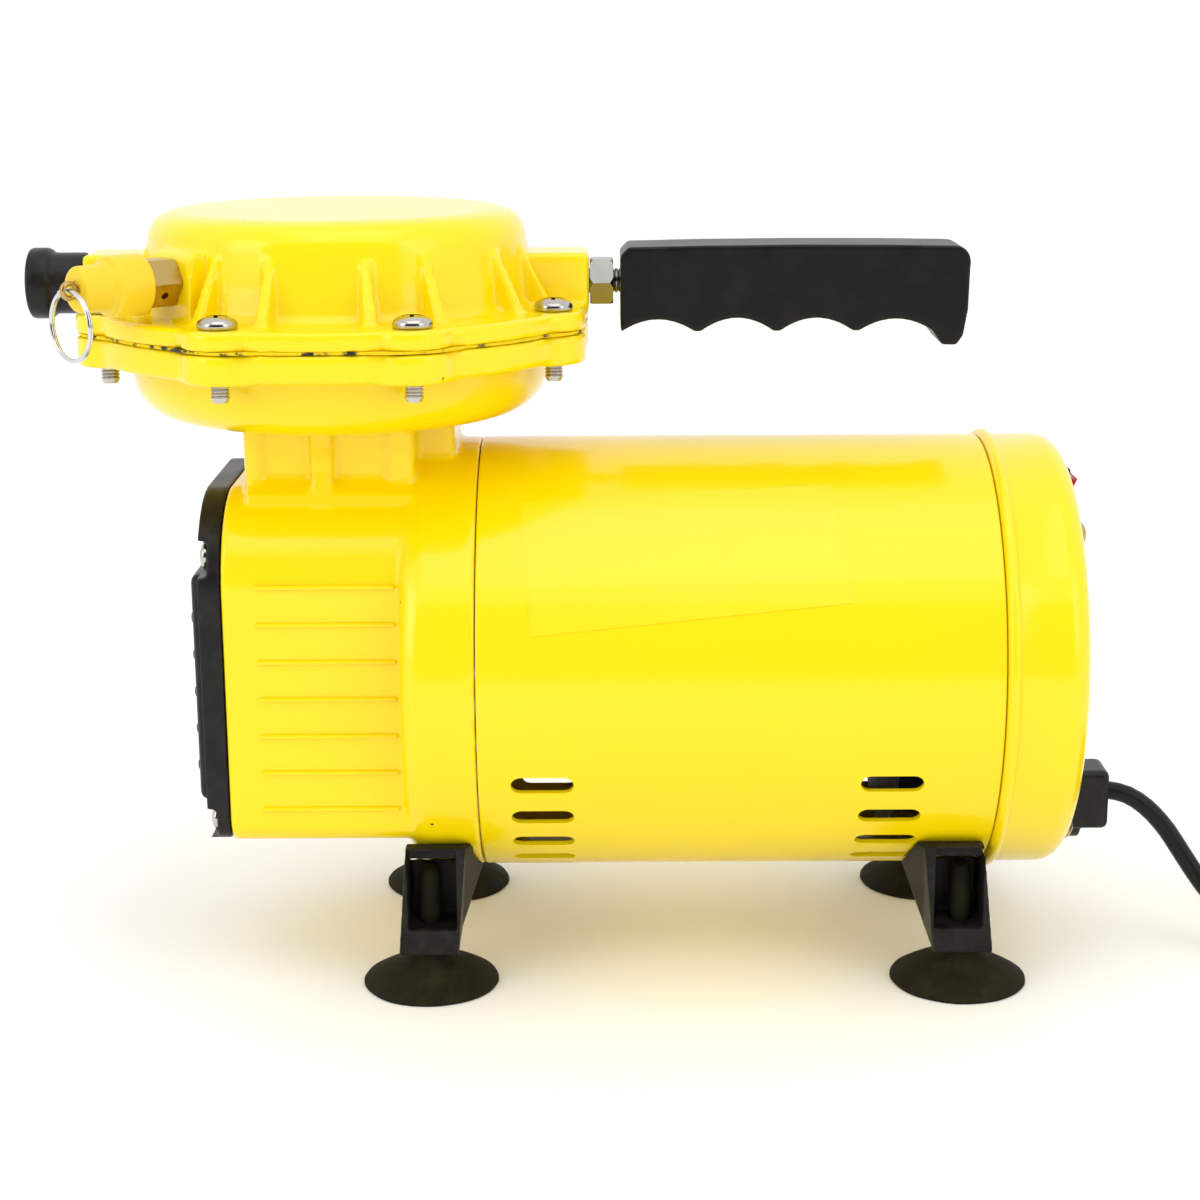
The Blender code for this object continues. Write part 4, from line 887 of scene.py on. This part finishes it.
def make_screws():
    repeated("head_screws", pan_screw(0.0061, 0.0038, 0.0029, 0.0222, 0.0070), "CIRCLE", "nickel", "casing",
             ["head_screw_%d" % k for k in range(1, SCREW_COUNT + 1)],
             (HEAD_X, 0, CAP_FLANGE_TOP + 0.0003),
             (0, 0, math.radians(22.5)), SCREW_COUNT, (SCREW_CIRCLE_R, 0))
    small = pan_screw(0.0042, 0.0028, 0.0020, 0.0150, 0.006)
    bmesh.ops.rotate(small, cent=(0, 0, 0), matrix=Matrix.Rotation(math.radians(-90), 3, "Y"),
                     verts=small.verts)
    middle_z = sum(COVER_SCREW_Z) / 2
    tall = COVER_SCREW_Z[1] - COVER_SCREW_Z[0]
    repeated("cover_screws", small, "GRID", "nickel", "casing", ["cover_screw_%d" % k for k in range(1, 5)],
             (-0.1156, 0, middle_z), (0, math.radians(90), 0), 4, (tall, 2 * COVER_SCREW_Y))
    dome = [(0.0048 * math.sin(math.radians(a)), 0.0034 * math.cos(math.radians(a))) for a in range(0, 91, 9)]
    dome += [(0.0020, 0), (0.0020, -0.0275), (0, -0.0275)]
    bolt = carved(turned(dome, steps=48), cuts=cross_slot(0.0034, 0.0024, 0.0010, 0.0018))
    bmesh.ops.rotate(bolt, cent=(0, 0, 0), matrix=Matrix.Rotation(math.radians(90), 3, "Y"), verts=bolt.verts)
    middle_z = sum(BOLT_HEIGHTS) / 2
    repeated("end_bolts", bolt, "GRID", "brass", "casing", ["end_bolt_%d" % k for k in range(1, 5)],
             (END_FACE + 0.0003, 0, middle_z), (0, math.radians(90), 0), 4,
             (BOLT_HEIGHTS[1] - BOLT_HEIGHTS[0], BOLT_SPREAD_Y))


# ---------------------------------------------------------------- cover, handle and fittings

def make_cover():
    near = -0.1113
    far = near - 0.0070
    face = far - 0.0035
    plate = prism(case_outline(0.0006), far, near, across_x())
    raised = block((face, -0.045, 0.0618), (far + 0.002, 0.045, 0.1367), 0.003, 4)
    joins = [raised]
    for row in range(5):
        height = 0.0708 + 0.01225 * row
        joins.append(block((face - 0.0010, -0.040, height), (face + 0.001, 0.040, height + 0.0035), 0.0007,
                           2))
    cuts = []
    for side in (-1, 1):
        for height in COVER_SCREW_Z:
            ends = sorted((side * (COVER_SCREW_Y - 0.0058), side * 0.060))
            notch = block((far - 0.02, ends[0], height - 0.0054), (far + 0.0030, ends[1], height + 0.0054),
                          0.0016, 3)
            cuts.append(notch)
            cuts.append(rod(0.0022, -0.125, -0.108, at(0, side * COVER_SCREW_Y, height) @ ALONG_X))
    cover = softened(carved(plate, joins, cuts), 0.00060, 3, 0.6)
    add("crankcase_lid", cover, "cover_plastic", "casing", ["crankcase_cover"], 180)


def make_handle():
    middle = at(0, 0, FITTING_Z)
    x0, x1 = 0.0144, 0.1260
    top, bottom, horn = 0.2352, 0.2083, 0.2035
    depths = (0.0038, 0.0042, 0.0041, 0.0037)
    pitch = 0.0254
    length = x1 - x0
    outline = [(x0, bottom), (x0, top - 0.0026), (x0 + 0.0026, top)]
    outline += [(x0 + length * t, top + 0.0006 * math.sin(math.pi * t)) for t in (0.25, 0.5, 0.75)]
    outline += arc((x1 - 0.005, top - 0.005), 0.005, 90, 0, 8)
    outline += [(x1 - 0.0004, 0.2150), (x1 - 0.0018, horn + 0.003), (x1 - 0.0040, horn)]
    outline += [(x1 - 0.0085, horn + 0.0001)]
    for index in reversed(range(4)):
        centre = x0 + (length - 0.0115) / 2 + (index - 1.5) * pitch
        for step in range(13):
            swing = 1 - step / 6
            outline.append((centre + swing * pitch * 0.46, bottom + depths[index] * (1 - swing * swing)))
    grip = prism(outline, -0.0125, 0.0125, ACROSS_Y)
    rim = [edge for edge in grip.edges if abs(edge.verts[0].co.y - edge.verts[1].co.y) < 0.001]
    bmesh.ops.bevel(grip, geom=rim, offset=0.0034, segments=5, profile=0.5, affect="EDGES",
                    clamp_overlap=True)
    bore = rod(0.0044, 0.0, 0.0494, middle @ ALONG_X, 32)
    grip = softened(carved(grip, cuts=[bore]), 0.00055, 6, 0.6)
    add("hand_grip", grip, "grip_plastic", "casing", ["handle_grip"], 180)

    start = 0.0046
    nut = prism(hexagon(0.0143), start, start + 0.0075, middle @ across_x())
    reach = 0.00826
    chamfer = [(0, start + 0.0080), (0.0071, start + 0.0080), (reach, start + 0.0064),
               (reach, start + 0.0011),
               (0.0071, start - 0.0005), (0, start - 0.0005)]
    nut = carved(nut, keeps=[turned(chamfer, middle @ ALONG_X, 96)])
    nut = carved(nut, cuts=[rod(0.0043, 0.0, 0.03, middle @ ALONG_X, 48)])
    add("lock_nut", nut, "zinc", "casing", ["handle_nut"], 25)
    stud = [(0, 0.0484), (0.0040, 0.0484)]
    stud += thread_profile(0.0040, 0.0300, -0.0120, 0.00125, 0.0006)
    stud += [(0.0036, -0.0168), (0, -0.0168)]
    add("threaded_stud", turned(stud, middle @ ALONG_X, 56), "zinc", "casing", ["handle_stud"],
        50)


def make_filter():
    end = -0.1760
    face = HEAD_X - SEAT_R - 0.0003
    profile = [(0, face + 0.010), (0.0058, face + 0.010), (0.0058, face), (0.0092, face),
               (0.0098, face - 0.0006),
               (0.0098, end + 0.0090), (0.0100, end + 0.0078), (0.0108, end + 0.0070), (0.0111, end + 0.0064),
               (0.0114, end + 0.0056), (0.0114, end + 0.0014), (0.0111, end + 0.0004), (0.0105, end),
               (0.0084, end), (0.0080, end + 0.0004), (0.0074, end + 0.0060), (0, end + 0.0060)]
    add("filter_housing", turned(profile, at(0, 0, FITTING_Z) @ ALONG_X, 96), "cover_plastic", "casing",
        ["intake_filter"], 30)
    pad = [(0, end + 0.0064), (0.0072, end + 0.0064), (0.0072, end + 0.0046), (0.0060, end + 0.0040),
           (0, end + 0.0042)]
    disc = turned(pad, at(0, 0, FITTING_Z) @ ALONG_X, 48)
    add("filter_felt", disc, "fan_plastic", "casing", (), 40)


def make_safety_valve():
    base = at(HEAD_X, 0, VALVE_Z) @ radial(VALVE_ANGLE)
    face = FITTING_FACE
    hexa = prism(hexagon(FITTING_FLATS), face, face + 0.0105, base @ Matrix.Rotation(math.radians(30), 4,
                                                                                     "Z"))
    reach = 0.0081
    keep = turned([(0, face + 0.0112), (0.0070, face + 0.0112), (reach, face + 0.0098),
                   (reach, face + 0.0008),
                   (0.0072, face - 0.0003), (0, face - 0.0003)], base, 96)
    body = carved(hexa, keeps=[keep])
    stem = turned([(0, 0.0945), (0.0030, 0.0945), (0.0030, face + 0.010), (0.0050, face + 0.0095),
                   (0.0050, face + 0.002), (0.0040, face + 0.001), (0.0040, face - 0.010), (0, face - 0.010)],
                  base, 48)
    vents = []
    for turn in (60, 240):
        side = Matrix.Rotation(math.radians(turn), 4, "Z")
        vents.append(rod(0.0012, 0.0040, 0.0100, base @ at(0, 0, face + 0.0056) @ side @ ALONG_X, 20))
    body = carved(body, [stem], vents)
    add("valve_body", body, "brass", "casing", ["safety_valve_body"], 25)

    lip = face + 0.0108
    shoulder = lip + 0.0115
    tip = 0.0990
    cap = [(0, tip - 0.0006), (0.0026, tip - 0.0006), (0.0028, tip - 0.0001), (0.0056, tip)]
    cap += arc((0.0056, tip - 0.0014), 0.0014, 90, 0, 5)
    cap += [(0.0070, shoulder + 0.0016), (0.0073, shoulder + 0.0007), (0.0080, shoulder + 0.0002)]
    cap += arc((0.0080, shoulder - 0.0012), 0.0013, 80, 0, 5)
    cap += [(0.0093, lip + 0.0003), (0.0090, lip), (0.0034, lip), (0.0034, tip - 0.004), (0, tip - 0.004)]
    add("valve_cap", turned(cap, base, 96), "valve_yellow", "valve_pull", ["safety_valve_cap"],
        40)
    eye = at(*around_head(RING_PIVOT_R, VALVE_ANGLE, VALVE_Z))
    flat = Matrix.Rotation(VALVE_ANGLE, 4, "Z") @ Matrix.Rotation(math.radians(90), 4, "X")
    loop = turned([(0.0022 + 0.0008 * math.cos(-2 * math.pi * k / 12),
                    0.0010 * math.sin(-2 * math.pi * k / 12))
                   for k in range(12)], eye @ flat, 40, True)
    pin = turned([(0, 0.0994), (0.0012, 0.0994), (0.0013, 0.0975), (0, 0.0975)], base, 24)
    add("valve_eyelet", carved(loop, [pin]), "brass", "valve_pull", (), 60)

    turns = []
    ring_r = 0.0105
    for step in range(150):
        angle = math.radians(90 + 720 * step / 149 + 25)
        drift = -0.00060 + 0.00120 * step / 149
        turns.append(Vector((ring_r * math.cos(angle), ring_r * math.sin(angle), drift)))
    centre = at(*around_head(RING_PIVOT_R, VALVE_ANGLE, VALVE_Z - ring_r + 0.0002))
    facing = Matrix.Rotation(VALVE_ANGLE + math.radians(90), 4, "Z") @ Matrix.Rotation(math.radians(90), 4,
                                                                                       "X")
    loop = wire("split_ring", [centre @ facing @ point for point in turns], 0.00058, "ring_chrome")
    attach(loop, "ring")
    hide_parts("pull_ring")


def make_outlet():
    base = at(HEAD_X, 0, VALVE_Z) @ radial(OUTLET_ANGLE)
    face = FITTING_FACE
    hexa = prism(hexagon(FITTING_FLATS), face, face + 0.0080, base)
    keep = turned([(0, face + 0.0086), (0.0070, face + 0.0086), (0.0081, face + 0.0072),
                   (0.0081, face + 0.0008),
                   (0.0072, face - 0.0003), (0, face - 0.0003)], base, 96)
    barbs = [(0, 0.0900), (0.0040, 0.0900)]
    for step in range(3):
        z = 0.0896 - step * 0.0042
        barbs += [(0.0043, z), (0.0051, z - 0.0030), (0.0043, z - 0.0034)]
    barbs += [(0.0043, face + 0.007), (0.0040, face + 0.001), (0.0040, face - 0.010), (0, face - 0.010)]
    bore = rod(0.0025, face - 0.02, 0.11, base, 32)
    nipple = carved(carved(hexa, keeps=[keep]), [turned(barbs, base, 64)], [bore])
    add("outlet_barb", nipple, "brass", "casing", ["outlet_nipple"], 25)


# ---------------------------------------------------------------- motor casing

def vent_cutters():
    outline = arc((VENT_HALF, 0), VENT_R, -90, 90, 8) + arc((-VENT_HALF, 0), VENT_R, 90, 270, 8)
    tools = []
    for middle in VENT_CENTRES:
        for row in range(-VENT_ROWS, VENT_ROWS + 1):
            turn = Matrix.Rotation(math.pi + row * VENT_PITCH, 4, "X")
            tools.append(prism(outline, BARREL_R - 0.006, BARREL_R + 0.006, at(middle, 0, AXIS_Z) @ turn))
    return tools


def make_barrel():
    base = at(0, 0, AXIS_Z) @ ALONG_X
    wall = 0.0015
    profile = [(BARREL_R - 0.0002, BARREL_X1), (BARREL_R, BARREL_X1 - 0.0003), (BARREL_R, BARREL_X0 + 0.0006),
               (BARREL_R - 0.0004, BARREL_X0), (BARREL_R - wall, BARREL_X0), (BARREL_R - wall, BARREL_X1)]
    shell = turned(profile, base, 256, True)
    add("motor_shell", carved(shell, cuts=vent_cutters()), "sheet_enamel", "casing", ["motor_barrel"],
        30)


def switch_block(start, end, half_y, half_z, radius=0.0, segments=3):
    """Block centred on the switch, from start to end along X."""
    return block((start, -half_y, SWITCH_Z - half_z), (end, half_y, SWITCH_Z + half_z), radius, segments)


def make_end_cap():
    base = at(0, 0, AXIS_Z) @ ALONG_X
    left = BARREL_X1 + 0.0003
    right = END_FACE
    inner = BARREL_R - 0.0020
    outer = [(0, right), (BARREL_R - 0.012, right)] + arc((BARREL_R - 0.008, right - 0.008), 0.008, 90, 0, 12)
    bead = [(BARREL_R, left + 0.0046), (BARREL_R + 0.0002, left + 0.0042)]
    bead += arc((BARREL_R - 0.0004, left + 0.0022), 0.0021, 70, -80, 8)
    inside = [(inner, left)] + arc((inner - 0.006, right - 0.008), 0.006, 0, 90, 6) + [(0, right - 0.002)]
    cap = turned(outer + bead + inside, base, 256)
    window = switch_block(right - 0.02, right + 0.02, 0.0085, 0.0115)
    gland = rod(0.006, right - 0.02, right + 0.02, at(0, GLAND_Y, GLAND_Z) @ ALONG_X, 32)
    add("end_bell", carved(cap, cuts=[window, gland]), "sheet_enamel", "casing", ["end_cap"],
        30)


LABEL_TOP = ((-0.0180, 55.0), (0.0800, 61.0))
LABEL_LOW = ((-0.0140, 18.0), (0.0850, 26.0))
LABEL_COLUMNS = 40
LABEL_ROWS = 16


def mixed(first, second, share):
    return tuple((1 - share) * start + share * end for start, end in zip(first, second))


def make_sticker():
    """Clear label: a thin film bent round the barrel, from corners given as (x, degrees round the barrel)."""
    shape = bmesh.new()
    radius = BARREL_R + 0.00016
    grid = []
    for column in range(LABEL_COLUMNS + 1):
        u = column / LABEL_COLUMNS
        line = []
        for row in range(LABEL_ROWS + 1):
            x, turn = mixed(mixed(*LABEL_TOP, u), mixed(*LABEL_LOW, u), row / LABEL_ROWS)
            angle = math.radians(turn)
            line.append(shape.verts.new((x, -radius * math.cos(angle), AXIS_Z + radius * math.sin(angle))))
        grid.append(line)
    for left, right in zip(grid, grid[1:]):
        for row in range(LABEL_ROWS):
            shape.faces.new((left[row], left[row + 1], right[row + 1], right[row]))
    bmesh.ops.recalc_face_normals(shape, faces=shape.faces)
    made = scratch(shape)
    wall = made.modifiers.new("Solidify", "SOLIDIFY")
    wall.thickness = 0.00012
    wall.offset = 0
    add("clear_label", evaluated(made), "clear_film", "casing", (), 60)


def make_switch():
    right = END_FACE
    bezel = switch_block(right + 0.0003, right + 0.0022, 0.0095, 0.0125, 0.0008)
    hub = switch_block(right - 0.0100, right + 0.0010, 0.0082, 0.0112)
    window = switch_block(right - 0.0085, right + 0.0100, 0.0075, 0.0105, 0.0005, 2)
    add("switch_frame", carved(bezel, [hub], [window]), "cover_plastic", "casing", ["switch_bezel"],
        30)
    reach = 0.0093
    outline = [(reach, 0.0028), (reach * 0.5, 0.0016), (0, 0.0010), (-reach * 0.5, 0.0016), (-reach, 0.0028)]
    outline += arc((0, 0), 0.0045, 200, 340, 12)
    along = Matrix(((0, 1, 0, 0), (0, 0, 1, 0), (1, 0, 0, 0), (0, 0, 0, 1)))
    place = at(right + 0.0010, 0, SWITCH_Z) @ Matrix.Rotation(math.radians(9), 4, "Y") @ along
    key = prism(outline, -0.0069, 0.0069, place)
    made = scratch(key)
    edge = made.modifiers.new("Bevel", "BEVEL")
    edge.width = 0.0005
    edge.segments = 3
    add("switch_key", evaluated(made), "switch_red", "rocker", ["switch_rocker"], 40)


def make_gland():
    start = END_FACE + 0.0003
    body = block((start, -0.0235, 0.0430), (start + 0.0167, -0.0065, 0.0630), 0.0022, 4)
    neck = rod(0.0055, END_FACE - 0.010, start + 0.004, at(0, GLAND_Y, GLAND_Z) @ ALONG_X, 48)
    tab = turned([(0, start + 0.0080), (0.0066, start + 0.0080), (0.0070, start + 0.0074),
                  (0.0070, start + 0.0006),
                  (0.0066, start), (0, start)], at(0, GLAND_Y, 0.0452) @ ALONG_X, 48)
    collar = turned([(0, start + 0.0167), (0.0042, start + 0.0167), (0.0052, start + 0.0150),
                     (0.0052, start + 0.010),
                     (0, start + 0.010)], at(0, GLAND_Y, CORD_ROUTE[0][2]) @ ALONG_X, 48)
    gland = softened(carved(body, [neck, tab, collar]), 0.00045, 3, 0.6)
    add("lead_gland", gland, "cover_plastic", "casing", ["cord_gland"], 180)


# ---------------------------------------------------------------- legs and suction cups

LEG_TOP_Z = 0.0492
LEG_LOW_Z = 0.0128
LEG_INNER_Y = 0.0320
LEG_OUTER_Y = 0.0560
LEG_HALF_X = 0.0096
LEG_WALL = 0.0018
LEG_FLARE = 0.0090
LEG_SIDES = (("left", -0.0456, -0.0484, 1), ("right", 0.1200, 0.1238, -1))


def make_legs():
    for end, top_x, low_x, flare in LEG_SIDES:
        for row, side in (("front", -1), ("rear", 1)):
            shape = bmesh.new()
            bmesh.ops.create_cube(shape, size=2)
            for vert in shape.verts:
                high = vert.co.z > 0
                rear = vert.co.y > 0
                x = (top_x if high else low_x) + vert.co.x * LEG_HALF_X
                if high and rear and vert.co.x * flare > 0:
                    x += flare * LEG_FLARE
                y = side * (LEG_INNER_Y if rear else LEG_OUTER_Y)
                vert.co = (x, y, LEG_TOP_Z if high else LEG_LOW_Z)
            bmesh.ops.recalc_face_normals(shape, faces=shape.faces)
            middle = (top_x + low_x) / 2
            ends = sorted((side * (LEG_OUTER_Y + 0.010), side * 0.0385))
            wall = LEG_HALF_X - LEG_WALL
            saddle = rod(BARREL_R + 0.0003, -0.2, 0.2, at(0, 0, AXIS_Z) @ ALONG_X, 200)
            pocket = block((middle - wall, ends[0], 0.0212), (middle + wall, ends[1], 0.0440))
            rim = sorted((side * (LEG_OUTER_Y + 0.010), side * 0.0507))
            mouth = block((middle - wall, rim[0], 0.0300), (middle + wall, rim[1], 0.0481))
            hole = rod(0.0033, 0, 0.03, at(low_x, side * FOOT_Y, 0))
            leg = softened(carved(shape, cuts=[saddle, pocket, mouth, hole]), 0.00050, 3, 0.55)
            name = "%s_%s" % (row, end)
            add("foot_bracket_" + name, leg, "leg_plastic", "casing", ["leg_" + name], 180)


def make_cups():
    profile = [(0, 0.0400), (0.0020, 0.0398), (0.0028, 0.0392), (0.0033, 0.0370), (0.0034, 0.0345),
               (0.0035, 0.0245),
               (0.0036, 0.0236), (0.0031, 0.0214), (0.0030, 0.0208), (0.0030, 0.0126), (0.0062, 0.0125),
               (0.0070, 0.0120), (0.0073, 0.0112), (0.0078, 0.0098), (0.0088, 0.0086), (0.0106, 0.0073),
               (0.0132, 0.0062), (0.0164, 0.0046), (0.0196, 0.0028), (0.0215, 0.0016), (0.0220, 0.0009),
               (0.0220, 0.0003), (0.0217, 0.0), (0.0188, 0.0), (0.0150, 0.0020), (0.0120, 0.0036),
               (0.0060, 0.0052), (0, 0.0055)]
    for end, _, low_x, _ in LEG_SIDES:
        for row, side in (("front", -1), ("rear", 1)):
            cup = turned(profile, at(low_x, side * FOOT_Y, 0), 120)
            for vert in cup.verts:
                out = Vector((vert.co.x - low_x, vert.co.y - side * FOOT_Y, 0))
                if out.length > 0.008:
                    vert.co += out.normalized() * 0.0003 * noise.noise(vert.co * 110)
            name = "%s_%s" % (row, end)
            add("cup_" + name, cup, "cup_rubber", "casing", ["suction_cup_" + name], 60)


# ---------------------------------------------------------------- inner parts

INNER_FINISH = {
    "bare_steel": ["motor_shaft", "rotor_core", "stator_core", "front_bearing", "rear_bearing", "eccentric",
                   "eccentric_bearing", "intake_reed", "exhaust_reed"],
    "copper_wire": ["winding_front", "winding_rear"],
    "cast_aluminium": ["valve_plate", "connecting_rod", "diaphragm_clamp", "rear_bracket"],
    "fan_plastic": ["cooling_fan"],
}


def dress_inner_parts():
    for finish, names in INNER_FINISH.items():
        for name in names:
            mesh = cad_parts[name].data
            mesh.materials.clear()
            mesh.materials.append(FINISHES[finish])


# ---------------------------------------------------------------- stage, light and camera

def make_stage():
    shape = bmesh.new()
    bmesh.ops.create_grid(shape, x_segments=1, y_segments=1, size=40)
    mesh = bpy.data.meshes.new("studio_floor")
    shape.to_mesh(mesh)
    shape.free()
    floor = bpy.data.objects.new("studio_floor", mesh)
    floor.location.z = -0.0001
    paper = bpy.data.materials.new("studio_paper")
    paper.use_nodes = True
    shader = paper.node_tree.nodes["Principled BSDF"]
    shader.inputs["Base Color"].default_value = (0.97, 0.97, 0.97, 1)
    shader.inputs["Roughness"].default_value = 0.9
    mesh.materials.append(paper)
    bpy.context.scene.collection.objects.link(floor)


def make_dark_card():
    """Dark card behind the camera, seen only in reflections, for contrast in the gloss."""
    shape = block((-2.2, -2.45, 0.05), (2.2, -2.4, 2.0))
    mesh = bpy.data.meshes.new("dark_card")
    shape.to_mesh(mesh)
    shape.free()
    card = bpy.data.objects.new("dark_card", mesh)
    cloth = bpy.data.materials.new("dark_cloth")
    cloth.use_nodes = True
    cloth.node_tree.nodes["Principled BSDF"].inputs["Base Color"].default_value = (0.01, 0.01, 0.01, 1)
    mesh.materials.append(cloth)
    card.visible_camera = False
    card.visible_diffuse = False
    card.visible_shadow = False
    bpy.context.scene.collection.objects.link(card)


def area_light(name, place, target, size, power, tall=None):
    lamp = bpy.data.lights.new(name, "AREA")
    lamp.energy = power
    lamp.size = size
    if tall:
        lamp.shape = "RECTANGLE"
        lamp.size_y = tall
    made = bpy.data.objects.new(name, lamp)
    made.location = place
    made.rotation_euler = (Vector(target) - Vector(place)).to_track_quat("-Z", "Y").to_euler()
    bpy.context.scene.collection.objects.link(made)


def make_lights():
    world = bpy.data.worlds.new("studio")
    world.use_nodes = True
    world.node_tree.nodes["Background"].inputs["Color"].default_value = (1, 1, 1, 1)
    world.node_tree.nodes["Background"].inputs["Strength"].default_value = 1.06
    bpy.context.scene.world = world
    area_light("softbox_top", (0.1, -0.5, 1.5), (0, 0, 0.12), 1.2, 4)
    area_light("softbox_left", (-1.3, -1.0, 0.8), (-0.05, 0, 0.15), 0.7, 4, 1.0)
    area_light("softbox_right", (1.3, -1.0, 0.8), (0.05, 0, 0.12), 0.7, 2.5, 1.0)
    bpy.context.scene.view_settings.view_transform = "Standard"


def make_camera():
    camera = bpy.data.cameras.new("camera")
    camera.lens = CAMERA_LENS
    camera.sensor_width = 36
    camera.clip_start = 0.05
    made = bpy.data.objects.new("camera", camera)
    turn = Matrix.Rotation(CAMERA_TURN, 4, "Z") @ Matrix.Rotation(CAMERA_TILT, 4, "X")
    turn = turn @ Matrix.Rotation(CAMERA_ROLL, 4, "Z")
    made.matrix_world = at(*CAMERA_PLACE) @ turn
    bpy.context.scene.collection.objects.link(made)
    bpy.context.scene.camera = made


make_camera()
make_cord()
make_crankcase()
make_head_cap()
make_diaphragm()
make_screws()
make_cover()
make_handle()
make_filter()
make_safety_valve()
make_outlet()
make_barrel()
make_end_cap()
make_sticker()
make_switch()
make_gland()
make_legs()
make_cups()
dress_inner_parts()
make_stage()
make_dark_card()
make_lights()
